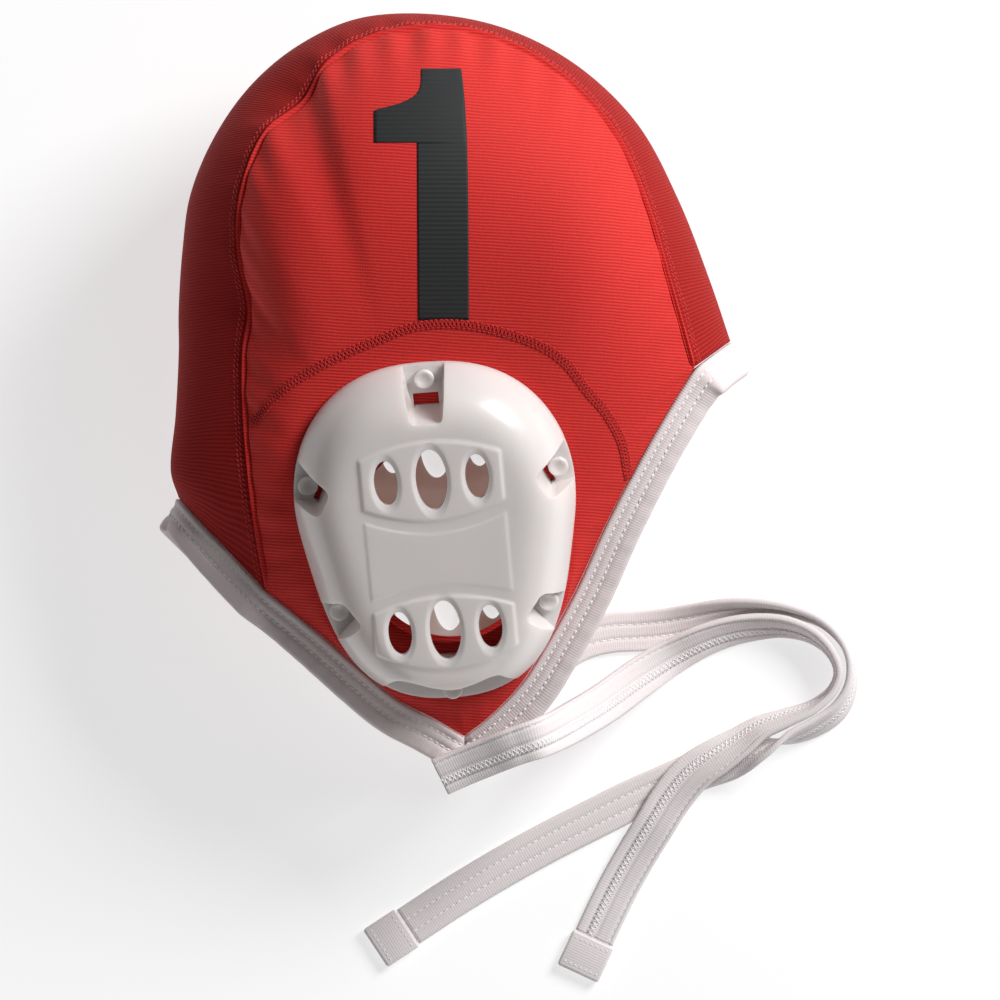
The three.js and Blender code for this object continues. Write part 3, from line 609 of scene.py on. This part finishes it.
bm = shaped_grid(strip_points, strip_lengths)
bm.normal_update()
middle = strip_points[strip_count // 2][strip_rows // 2] * MM
middle_face = min(bm.faces, key=lambda f: (f.calc_center_median() - middle).length)
if middle_face.normal.y < 0:
    ops.reverse_faces(bm, faces=bm.faces)
bm.normal_update()
strip_tree = BVHTree.FromBMesh(bm)
strip_piece = add_piece("crown_strip", bm, strip_cloth, ["crown_strip"], wall=cloth_wall)
print("crown strip", round(run_along), "mm long and at most",
      round(max(line[-1][1] - line[0][1] for line in strip_lengths)), "mm wide")

# %% [markdown]
# Binding. A white tape is folded over the raw rim and sewn through with two rows of
# straight stitches, which pinch it. It runs from flap tip over the forehead to flap tip, and
# again round the nape. One section, carried along the rim, makes each tape with its folds.

# %% Binding
stitch_rows = (3.2, 7.2)
row_dip, row_dip_width = 0.6, 0.9
inner_fold, outer_fold = 0.8, 2.0
rim_steps, tape_step = 90, 1.3


def binding_profile(width, thickness):
    """Half-round folded edge outside, and a dip under each stitch row"""
    outline = []
    steps = 26
    for k in range(steps + 1):
        w = width * k / steps
        dip = sum(row_dip * ridge(w, place, row_dip_width) for place in stitch_rows)
        edge = min(w / inner_fold, 1, (width - w) / outer_fold)
        past_rows = min(max((w - stitch_rows[1]) / (width - stitch_rows[1]), 0), 1)
        crown = 1 + 0.22 * sin(pi * past_rows)
        half = thickness / 2 * sqrt(max(1 - (1 - edge) ** 2, 0))
        outline.append((w, half * crown - dip * smooth(edge)))
    return outline


def rim_line(front):
    """Points from flap tip over the strip's end to flap tip, each with its way outward"""
    rows = front_rows if front else rear_rows
    sides = {}
    for side in ("upper", "lower"):
        seat_x, seat_y = seats[side][0] + shift.x, seats[side][1] + shift.y
        table = edge_table(rows, side)
        line = []
        for i in range(rim_steps + 1):
            x, y, z, fall = spline(table, i / rim_steps)
            point = Vector((x, y, z)) + shift
            radial = Vector((point.x - seat_x, point.y - seat_y, 0)).normalized()
            slope = -fall if side == "upper" else fall * 1.2
            line.append((point, (radial + Vector((0, 0, slope))).normalized()))
        sides[side] = line if front else line[::-1]
    strip_end = strip_points[-1 if front else 0]
    strip_next = strip_points[-6 if front else 5]
    turned_out = Vector((0.2 if front else -0.62, 0, 0))
    across = [(a, ((a - b).normalized() + turned_out).normalized())
              for a, b in zip(strip_end, strip_next)]
    return sides["upper"][::-1] + across[2:-2] + sides["lower"]


def blended(values, reach):
    """Running mean of vectors along a line"""
    out = []
    for i in range(len(values)):
        part = values[max(i - reach, 0):i + reach + 1]
        out.append(sum(part, Vector()) / len(part))
    return out


stitch_lines = []


def binding(front, name):
    stations = rim_line(front)
    points = [station[0] for station in stations]
    even = lengths_of(points)
    count = round(even[-1] / tape_step)
    spots, outs = [], []
    for j, share in steps_along(even, [even[-1] * k / count for k in range(count + 1)]):
        spots.append(points[j].lerp(points[j + 1], share))
        outs.append(stations[j][1].lerp(stations[j + 1][1], share))
    spots = blended(spots, 3)
    spots[0], spots[-1] = points[0], points[-1]
    outs = blended(outs, 9)
    profile = binding_profile(binding_width, binding_thick)
    section = [(w, t) for w, t in profile] + [(w, -t) for w, t in profile[-2:0:-1]]
    rings, lengths, rows = [], [], {place: [] for place in stitch_rows}
    for k, spot in enumerate(spots):
        along = (spots[min(k + 1, count)] - spots[max(k - 1, 0)]).normalized()
        outward = (outs[k] - along * outs[k].dot(along)).normalized()
        outward.z *= binding_flare
        outward = (outward - along * outward.dot(along)).normalized()
        if k in (0, count):
            outward = Vector((0, -1, outward.z)).normalized()
        normal = outward.cross(along) if front else along.cross(outward)
        normal.normalize()
        if k in (0, count):
            normal = Vector((0, normal.y, normal.z)).normalized()
        tuck = Vector(((seam_gap if front else -seam_gap) / 2, 0, 0)) if k in (0, count) else Vector()
        middle = spot - normal * (cloth_wall / 2) + outward * seam_gap + tuck
        flare = 0.15 * sin(k * 0.9) * sin(k * 0.23)
        ring = [middle + outward * w + normal * (t + flare * w / binding_width) for w, t in section]
        rings.append(ring + ring[:1])
        wide = [w for w, t in section] + [section[0][0]]
        lengths.append([(even[-1] * k / count, w) for w in wide])
        for w in rows:
            half = next(t for a, t in profile if a >= w)
            rows[w].append((middle + outward * w + normal * half, normal, -normal * 2 * half))
    stitch_lines.extend(rows.values())
    add_piece(name, tube(rings, lengths), binding_tape, [name])


binding(True, "front_binding")
binding(False, "rear_binding")


# %% [markdown]
# Stitches. Each is a short bead of thread set along a line, half sunk in the cloth. One small
# sphere is made once and placed by a matrix for each stitch, because there are hundreds.

# %% Stitches
bead = bmesh.new()
ops.create_uvsphere(bead, u_segments=6, v_segments=5, radius=1)
bead_points = [vert.co.copy() for vert in bead.verts]
bead_faces = [[vert.index for vert in face.verts] for face in bead.faces]
bead.free()


def add_beads(name, matrices, material):
    """One piece from a bead for each matrix"""
    points, faces = [], []
    for matrix in matrices:
        faces.extend([index + len(points) for index in face] for face in bead_faces)
        points.extend(matrix @ point for point in bead_points)
    mesh = bpy.data.meshes.new(name)
    mesh.from_pydata(points, [], faces)
    bm = bmesh.new()
    bm.from_mesh(mesh)
    bpy.data.meshes.remove(mesh)
    return add_piece(name, bm, material)


def lay_stitches(beads, line, pitch, length, radius, both=False, lean=0.0):
    """line is a list of (point, normal, way through to the other face)"""
    points = [entry[0] for entry in line]
    even = lengths_of(points)
    count = max(int(even[-1] / pitch), 1)
    for j, share in steps_along(even, [(k + 0.5) * even[-1] / count for k in range(count)]):
        along = (points[j + 1] - points[j]).normalized()
        spot = points[j].lerp(points[j + 1], share)
        normal = line[j][1]
        side = normal.cross(along).normalized()
        way = along * cos(lean) + side * sin(lean)
        across = normal.cross(way).normalized()
        turn = Matrix((way, across, normal)).transposed().to_4x4()
        places = [spot] + ([spot + line[j][2]] if both else [])
        for place in places:
            size = Matrix.Diagonal((length / 2 * MM, radius * MM, radius * MM * 0.8, 1))
            beads.append(Matrix.Translation(place * MM) @ turn @ size)


beads = []
for line in stitch_lines:
    lay_stitches(beads, line, pitch=2.6, length=2.0, radius=0.42, both=True)
add_beads("binding_stitches", beads, white_thread)


def on_strip(depth, upper):
    """A line on the crown strip at a distance from its seam"""
    line = []
    for points, lengths in zip(strip_points, strip_lengths):
        if not upper:
            points, lengths = points[::-1], lengths[::-1]
        width = [abs(entry[1] - lengths[0][1]) for entry in lengths]
        k = next(i for i in range(strip_rows) if width[i + 1] >= depth)
        point = points[k].lerp(points[k + 1], (depth - width[k]) / (width[k + 1] - width[k]))
        line.append((point, strip_tree.find_nearest(point * MM)[1], Vector()))
    return line


beads = []
for upper in (True, False):
    for depth in (2.4, 3.9):
        lay_stitches(beads, on_strip(depth, upper), pitch=2.0, length=1.7, radius=0.28, lean=0.5)
add_beads("seam_stitches", beads, red_thread)


# %% [markdown]
# Number and stitched arc. Both lie on the upper panel. Their places are taken along the
# sight lines of the picture, on the plane where it has its nominal width.

# %% Number and arc
number_top, flag_top, flag_side, flag_low = 123.6, 122.4, 108, 95.5
stem_left, flag_left = -13.5, -31.4
print_lift, print_wall = 0.22, 0.15


def seen(x, y):
    """Point and normal of the upper panel behind a point of the picture plane"""
    target = Vector((x, y, picture_level)) * MM
    hit = upper_panel.ray_cast(camera_place, (target - camera_place).normalized())
    if hit[0] is None:
        return None
    return hit[0] / MM, hit[1]


def number_bounds(y):
    """Left and right edge of a plain figure one; its flag is cut in below by a hollow curve"""
    right = 1.7 + 3.0 * (1 - exp(-(number_top - y) / 20))
    if y > flag_top:
        return stem_left, right
    if y > flag_side:
        hollow = ((flag_top - y) / (flag_top - flag_side)) ** 4.2
        return stem_left + (flag_left - stem_left) * hollow, right
    if y > flag_low:
        return flag_left, right
    return -15.0 + 0.4 * (95.4 - y) / 67, right


rows, lengths = [], []
levels = [number_top - k * 0.8 for k in range(35)] + [95.55, 95.45]
levels += [94.8 - k * 1.587 for k in range(43)]
for y in levels:
    left, right = number_bounds(y)
    row, spots = [], []
    for k in range(25):
        x = left + (right - left) * k / 24
        hit = seen(x, y)
        row.append(hit[0] + hit[1] * print_lift)
        spots.append((x, y))
    rows.append(row)
    lengths.append(spots)
bm = shaped_grid(rows, lengths)
bm.normal_update()
if sum(face.normal.z for face in bm.faces) < 0:
    ops.reverse_faces(bm, faces=bm.faces)
add_piece("number_one", bm, print_black, wall=print_wall)

arc_points = [(-77.7, -11.8), (-69.4, -1.5), (-58.4, 6.9), (-44.3, 14.5), (-30.2, 20.5), (-14.7, 25.9),
              (5.1, 26.2), (31.7, 18.6), (41.6, 11.8), (49.6, 1.5), (57.2, -7.6), (62.9, -18.6),
              (65.1, -30.0), (66.5, -35.5)]
arc_line = []
for i in range(181):
    x, y = spline(arc_points, i / 180)
    hit = seen(x, y)
    if hit:
        arc_line.append((hit[0] + hit[1] * 0.15, hit[1]))
arc_sides = []
for shift_side in (-1.5, 0.0, 1.5):
    side_line = []
    for i, (point, normal) in enumerate(arc_line):
        ahead = arc_line[min(i + 1, len(arc_line) - 1)][0] - arc_line[max(i - 1, 0)][0]
        side = normal.cross(ahead.normalized()).normalized()
        hit = upper_panel.find_nearest((point + side * shift_side) * MM)
        side_line.append((hit[0] / MM + hit[1] * 0.2, hit[1], Vector()))
    arc_sides.append(side_line)
beads = []
for lean in (1.1, -1.1):
    lay_stitches(beads, arc_sides[1], pitch=1.5, length=4.4, radius=0.36, lean=lean)
for side_line in (arc_sides[0], arc_sides[2]):
    lay_stitches(beads, side_line, pitch=1.9, length=1.9, radius=0.4)
add_beads("stitched_arc", beads, arc_thread)


# %% [markdown]
# Ear guards. Each is one injection moulding: a thin dome with a recess for every peg, slots
# that let water out, two rows of hearing holes, a raised panel round each row and a fainter one
# between them. The dome is one grid from its middle over the rim to the middle of its
# underside, so that its relief follows the outline.

# %% Ear guard's dome
top_at, foot_at = 90, 270
pegs_at = [top_at, 154, 215, foot_at, 322, 26]
slotted = (top_at, 154, 26)
guard_columns = 420
low_relief, hole_lip, lip_width, panel_edge = 0.35, 0.7, 1.7, 1.2
ring_shares = [k / 95 for k in range(1, 76)] + [0.8 + k * 0.01 for k in range(21)]
under_shares = [0.96, 0.955, 0.93, 0.9, 0.87, 0.84, 0.81, 0.78, 0.74, 0.68, 0.6, 0.45, 0.2]
foot_lip = [
    (-30, -66), (-26.3, -59.5), (-24.7, -57.1), (-22.5, -53.8), (-19.9, -52.2), (-16, -52.7),
    (-12.5, -53.8), (-6, -56.4), (0.6, -57.9), (8, -56), (15.3, -53.2), (18.5, -53.2),
    (21.9, -56.9), (24.5, -60), (29, -66),
]
ovals = [(column * 17, row, (11.6 if column == 0 else 8.8) / 2, (24 if column == 0 else 17.6) / 2)
         for row in (28, -32) for column in (-1, 0, 1)]


def pocket_length(degrees):
    return top_pocket_reach if degrees == top_at else pocket_reach


peg_places = []
for degrees in pegs_at:
    direction = Vector((cos(radians(degrees)), sin(radians(degrees))))
    inset = foot_peg_inset if degrees == foot_at else peg_inset
    peg_places.append((degrees, direction, outline_radius(guard_edge, direction) - inset))


def solid_mask(point):
    """1 where the underside is filled so that each recess keeps its walls and floor"""
    mask = 0.0
    for degrees, direction, reach in peg_places:
        foot = degrees == foot_at
        width = 30 if foot else pocket_width / 2 + 3
        inward = 14 if foot else pocket_length(degrees) + guard_wall
        p = point.dot(direction)
        q = abs(point.x * direction.y - point.y * direction.x)
        mask = max(mask, smooth(width - q + 0.5) * smooth(p - reach + inward + 0.5))
    return mask


def dome_rise(inset):
    return guard_depth * (0.16 + 0.84 * (1 - (1 - min(max(inset, 0) / 25, 1)) ** 3.2))


def raised(point, low, high, arch, sag):
    """1 on a panel between two levels, whose edges bow by arch and sag"""
    bow = 1 - (point.x / panel_half) ** 2
    above = smooth((point.y - low + sag * bow) / panel_edge)
    below = smooth((high + arch * bow - point.y) / panel_edge)
    return smooth((panel_half - abs(point.x)) / panel_edge) * above * below


def top_height(point, inset):
    rise = dome_rise(inset)
    if inset > 6:
        relief = max(raised(point, 18, 38, 6, 6.5), raised(point, -40.5, -23, 5.5, 7))
        rise += panel_relief * relief
        rise += low_relief * raised(point, -19, 14, -6.5, -4.4)
        for x, y, half_wide, half_tall in ovals:
            around = hypot((point.x - x) / half_wide, (point.y - y) / half_tall)
            rise -= hole_lip * smooth(1 - (around - 1) * half_wide / lip_width)
    return rise


def under_height(point, inset):
    rise = max(dome_rise(inset - guard_wall) - guard_wall, 0)
    return rise * (1 - solid_mask(point))


def guard_bmesh():
    edge = guard_outline(0, guard_columns)
    normals = [(edge[(i + 1) % guard_columns] - edge[i - 1]).normalized() for i in range(guard_columns)]
    support = [abs(p.x * n.y - p.y * n.x) for p, n in zip(edge, normals)]

    def ring_at(share, height):
        return [(p * share, height(p * share, (1 - share) * far)) for p, far in zip(edge, support)]

    rings = [ring_at(share, top_height) for share in ring_shares]
    rings += [[(p, 0.0) for p in edge], [(p * under_shares[0], 0.0) for p in edge]]
    rings += [ring_at(share, under_height) for share in under_shares[1:]]
    points = [[Vector((p.x, p.y, z)) for p, z in ring + ring[:1]] for ring in rings]
    lengths = [[(p.x, p.y) for p in ring] for ring in points]
    bm = shaped_grid(points, lengths, wrap=True)
    ops.dissolve_degenerate(bm, dist=1e-6, edges=bm.edges)
    close_up(bm)
    return bm


# %% [markdown]
# A mould makes the recesses, slots and holes with steel cores. Here bodies of the cores' shape
# are cut from the dome in two exact subtractions, which leave clean edges that no grid gives.

# %% Ear guard's cutting bodies
slot_length, top_slot_width, side_slot_width = 9.5, 5, 2.2
outer_half, inner_half, side_draft = 10.4, 6.6, 1.4
inner_slope, corner_round, cut_top = 0.9, 2.4, 40


def recess(bm, degrees, reach):
    """Cutting body of a peg's recess: narrower and rounded at its inner end"""
    inner, outer = -pocket_length(degrees), 12
    for vert in ops.create_cube(bm, size=1)["verts"]:
        low = vert.co.z < 0
        far = vert.co.y > 0
        half = (outer_half if far else inner_half) - (side_draft if low else 0)
        along = outer if far else inner + (inner_slope if low else -inner_slope)
        vert.co = mm(copysign(half, vert.co.x), reach + along, guard_wall if low else cut_top)
    inside = []
    for edge in bm.edges:
        start, end = (vert.co for vert in edge.verts)
        if max(start.y, end.y) < reach * MM and abs(start.z - end.z) > MM:
            inside.append(edge)
    ops.bevel(bm, geom=inside, offset=corner_round * MM, segments=6, profile=0.5, affect="EDGES")


def cutter_bmesh():
    """Hearing holes and slots as one set of cutting bodies"""
    bm = bmesh.new()
    for x, y, half_wide, half_tall in ovals:
        size = Matrix.Diagonal((half_wide * MM, half_tall * MM, 1, 1))
        matrix = Matrix.Translation(mm(x, y, 12)) @ size
        ops.create_cone(bm, cap_ends=True, segments=56, radius1=1, radius2=1, depth=34 * MM,
                        matrix=matrix)
    for degrees, direction, reach in peg_places:
        if degrees in slotted:
            wide = top_slot_width if degrees == top_at else side_slot_width
            turn = Matrix.Rotation(radians(degrees - 90), 4, "Z")
            place = direction * (reach - pocket_length(degrees) + 1.1 + wide / 2)
            size = Matrix.Diagonal((slot_length * MM, wide * MM, 9 * MM, 1))
            matrix = Matrix.Translation(mm(place.x, place.y, 0)) @ turn @ size
            ops.create_cube(bm, size=1, matrix=matrix)
    return bm


def recess_bmesh():
    """The pegs' recesses, and the long one over the foot with its wavy lip"""
    bm = bmesh.new()
    for degrees, direction, reach in peg_places:
        if degrees == foot_at:
            lip = [spline(foot_lip, k / 90)[:2] for k in range(91)] + [(29, -80), (-30, -80)]
            face = bm.faces.new([bm.verts.new(mm(x, y, guard_wall)) for x, y in lip])
            grown = ops.extrude_face_region(bm, geom=[face])["geom"]
            lifted = [item for item in grown if isinstance(item, bmesh.types.BMVert)]
            ops.translate(bm, vec=mm(0, 0, cut_top - guard_wall), verts=lifted)
            continue
        part = bmesh.new()
        recess(part, degrees, reach)
        ops.rotate(part, cent=(0, 0, 0), verts=part.verts,
                   matrix=Matrix.Rotation(radians(degrees - 90), 3, "Z"))
        loose = bpy.data.meshes.new("recess")
        part.to_mesh(loose)
        part.free()
        bm.from_mesh(loose)
        bpy.data.meshes.remove(loose)
    ops.recalc_face_normals(bm, faces=bm.faces)
    return bm


def guard_matrix(side):
    seat_x, seat_y, seat_z, tilt = seats[side]
    up = 1 if side == "upper" else -1
    place = Matrix.Translation((Vector((seat_x, seat_y, seat_z)) + shift) * MM)
    turn = Matrix.Rotation(tilt, 4, "X") @ Matrix.Rotation(0 if up > 0 else pi, 4, "Y")
    return place @ turn @ Matrix.Translation(mm(0, 0, seam_gap)) @ Matrix.Rotation(
        radians(guard_lean) * up, 4, "Z")


def mesh_object(name, bm):
    mesh = bpy.data.meshes.new(name)
    bm.to_mesh(mesh)
    bm.free()
    return add_object(name, mesh)


# %% [markdown]
# The two guards are the same moulding, one on each side of the cap. Each peg is a turned
# profile, spun once round, with a rounded head in its recess.

# %% Ear guards and pegs
blank = mesh_object("guard_blank", guard_bmesh())
cutters = [mesh_object("guard_recesses", recess_bmesh()), mesh_object("guard_holes", cutter_bmesh())]
for cutter in cutters:
    cut = blank.modifiers.new(cutter.name, "BOOLEAN")
    cut.operation = "DIFFERENCE"
    cut.object = cutter
    cut.solver = "EXACT"
graph = bpy.context.evaluated_depsgraph_get()
guard_mesh = bpy.data.meshes.new_from_object(blank.evaluated_get(graph))
for extra in (blank, *cutters):
    bpy.data.objects.remove(extra)

peg_profile = [(0, 3.9), (1.2, 4.0), (2.2, 4.35), (2.8, 4.75), (3.3, 4.75), (3.65, 4.5), (3.8, 4.0),
               (3.75, 3.0), (3.5, 2.35), (2.0, 2.35), (2.0, 0), (0, 0)]


def peg_bmesh(matrix):
    bm = bmesh.new()
    spots = [bm.verts.new(mm(r, 0, z)) for r, z in peg_profile]
    edges = [bm.edges.new(pair) for pair in zip(spots, spots[1:])]
    ops.spin(bm, geom=spots + edges, axis=(0, 0, 1), cent=(0, 0, 0), steps=28, angle=2 * pi)
    ops.remove_doubles(bm, verts=bm.verts, dist=1e-6)
    ops.recalc_face_normals(bm, faces=bm.faces)
    ops.transform(bm, matrix=matrix, verts=bm.verts)
    return bm


for side, word in (("upper", "right"), ("lower", "left")):
    matrix = guard_matrix(side)
    bm = bmesh.new()
    bm.from_mesh(guard_mesh)
    ops.transform(bm, matrix=matrix, verts=bm.verts)
    add_piece(f"{word}_ear_guard", bm, guard_plastic, [f"{word}_ear_guard"], sharp=42)
    for number, (degrees, direction, reach) in enumerate(peg_places, 1):
        spot = matrix @ Matrix.Translation(mm(direction.x * reach, direction.y * reach, 0))
        name = f"{word}_guard_peg_{number}"
        add_piece(name, peg_bmesh(spot), guard_plastic, [name], sharp=50)


# %% [markdown]
# Ties. Each is a folded white tape, sewn along its length, that lies on the surface and
# turns over on its edge in the loop, as limp tape does. One section is carried along the route
# and rolled as the route says.

# %% Ties
groove_depth, roll_height, roll_width, tie_fold = 0.65, 0.25, 0.8, 1.3
section_steps = 28


def tie_frames(route, count):
    frames = []
    table = [(x + shift.x, y + shift.y, z, roll) for x, y, z, roll in route]
    spots = [Vector(spline(table, i / count)[:3]) for i in range(count + 1)]
    for i, spot in enumerate(spots):
        roll = radians(spline(table, i / count)[3])
        tangent = (spots[min(i + 1, count)] - spots[max(i - 1, 0)]).normalized()
        left = Vector((0, 0, 1)).cross(tangent).normalized()
        above = tangent.cross(left)
        across = left * cos(roll) + above * sin(roll)
        frames.append((spot, tangent, across, tangent.cross(across)))
    return frames


def tie_half(w, grooves, rolls):
    """Half the tape's thickness at a place across it"""
    edge = min((tie_width / 2 - abs(w)) / tie_fold, 1)
    half = tie_thickness / 2 * sqrt(max(1 - (1 - edge) ** 2, 0))
    for place, wide in grooves:
        half -= groove_depth * ridge(w, place, wide) * smooth(edge)
    for place in rolls:
        half += roll_height * ridge(w, place, roll_width) * smooth(edge)
    return max(half, 0.02)


def tie(name, route, count, grooves, rolls):
    frames = tie_frames(route, count)
    section = []
    for k in range(section_steps + 1):
        share = k / section_steps
        w = tie_width / 2 * (0.25 * sin(pi * (share - 0.5)) + 0.75 * (2 * share - 1))
        section.append((w, tie_half(w, grooves, rolls)))
    loop = section + [(w, -t) for w, t in section[-2:0:-1]]
    run = lengths_of([entry[0] for entry in frames])
    rings, lengths = [], []
    for (spot, tangent, across, face), length in zip(frames, run):
        ring = [spot + across * w + face * t for w, t in loop]
        rings.append(ring + ring[:1])
        lengths.append([(length, w) for w, t in loop] + [(length, loop[0][0])])
    return add_piece(name, tube(rings, lengths), tie_tape, [name]), frames, run[-1]


def on_tie(frames, w, grooves, rolls):
    half = tie_half(w, grooves, rolls)
    return [(spot + across * w + face * half, face, -face * 2 * half)
            for spot, tangent, across, face in frames]


def hem(name, frames):
    """The folded and sewn end of a tie, a little wider and thicker than the tape"""
    spot, tangent, across, face = frames[-1]
    floor = Vector((0, 0, hem_thickness / 2 - tie_thickness / 2))
    bm = bmesh.new()
    ops.create_cube(bm, size=1)
    ops.scale(bm, vec=(hem_length * MM, hem_width * MM, hem_thickness * MM), verts=bm.verts)
    ops.bevel(bm, geom=bm.edges[:], offset=1.2 * MM, segments=4, profile=0.5, affect="EDGES",
              material=-1)
    ops.subdivide_edges(bm, edges=bm.edges[:], cuts=1)
    uv = bm.loops.layers.uv.new("lay")
    for f in bm.faces:
        for loop in f.loops:
            loop[uv].uv = (loop.vert.co.x, loop.vert.co.y)
    turn = Matrix((tangent, across, face)).transposed().to_4x4()
    centre = spot + floor + tangent * (seam_gap + hem_length / 2)
    ops.transform(bm, matrix=Matrix.Translation(centre * MM) @ turn, verts=bm.verts)
    return add_piece(name, bm, tie_tape, [name]), centre, turn


def hem_stitches(beads, centre, turn):
    """Two rows of stitches across the hem, on both faces"""
    for along in (-5.2, 4.8):
        for k in range(-3, 4):
            for up in (1, -1):
                spot = turn @ Vector((along, k * 2.2, up * (hem_thickness / 2 - 0.15)))
                size = Matrix.Diagonal((0.4 * MM, 0.95 * MM, 0.32 * MM, 1))
                beads.append(Matrix.Translation((centre + spot) * MM) @ turn @ size)


right_grooves, right_rolls = ((-3.9, 0.6), (0.1, 0.6), (6.0, 0.5)), (7.0,)
left_grooves, left_rolls = ((-2.7, 0.7), (2.7, 0.7)), ()
right_piece, right_frames, right_length = tie(
    "right_tie", right_tie_route, 320, right_grooves, right_rolls)
left_piece, left_frames, left_length = tie(
    "left_tie", left_tie_route, 350, left_grooves, left_rolls)
right_hem, right_centre, right_turn = hem("right_tie_hem", right_frames)
left_hem, left_centre, left_turn = hem("left_tie_hem", left_frames)

beads = []
zigzag = on_tie(right_frames, -1.9, right_grooves, right_rolls)
for lean in (1.0, -1.0):
    lay_stitches(beads, zigzag, pitch=1.9, length=4.2, radius=0.32, both=True, lean=lean)
edge_row = on_tie(right_frames, 6.0, right_grooves, right_rolls)
lay_stitches(beads, edge_row, pitch=2.8, length=2.2, radius=0.32, both=True)
hem_stitches(beads, right_centre, right_turn)
right_stitches = add_beads("right_tie_stitches", beads, white_thread)
beads = []
for groove in left_grooves:
    row = on_tie(left_frames, groove[0], left_grooves, left_rolls)
    lay_stitches(beads, row, pitch=2.9, length=2.4, radius=0.36)
back = [(point + through, -normal, -through)
        for point, normal, through in on_tie(left_frames, 0, left_grooves, left_rolls)]
for lean in (1.0, -1.0):
    lay_stitches(beads, back, pitch=1.9, length=4.2, radius=0.32, lean=lean)
hem_stitches(beads, left_centre, left_turn)
left_stitches = add_beads("left_tie_stitches", beads, white_thread)

for piece, frames, length, pieces in (
        (right_piece, right_frames, right_length, [right_hem, right_stitches]),
        (left_piece, left_frames, left_length, [left_hem, left_stitches])):
    [c * MM for c in frames[0][0]]
    [[c * MM for c in frame_[0]] for frame_ in frames]
    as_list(pieces)
    print(piece.name, round(length), "mm long")

# %% [markdown]
# Floor and light. A white floor with a slight glow of its own, which keeps it pale beside the
# cap's shadow, a large soft light from the right and top of the picture, as in the photograph,
# and a weak second one from below the picture.

# %% Floor and light
bm = bmesh.new()
ops.create_grid(bm, x_segments=1, y_segments=1, size=6)
floor = mesh_object("floor", bm)
floor_white = plain_material("floor_white", (0.4, 0.4, 0.4), 0.9, Emission_Color=(1, 1, 1, 1),
                             Emission_Strength=0.66)[0]
floor.data.materials.append(floor_white)
floor.location.z = -0.0002


def area_light(name, place, size, power):
    data = bpy.data.lights.new(name, "AREA")
    data.size = size
    data.energy = power
    light = add_object(name, data)
    light.location = place
    light.rotation_mode = "QUATERNION"
    light.rotation_quaternion = Vector(place).to_track_quat("Z", "Y")


area_light("key", (1.2, 0.95, 1.25), 0.8, 44)
area_light("fill", (0.1, -1.4, 0.4), 0.8, 3)
world = bpy.data.worlds.new("world")
world.use_nodes = True
world.node_tree.nodes["Background"].inputs[0].default_value = (1, 1, 1, 1)
world.node_tree.nodes["Background"].inputs[1].default_value = 0.12
scene = bpy.context.scene
scene.world = world
scene.view_settings.view_transform = "Standard"
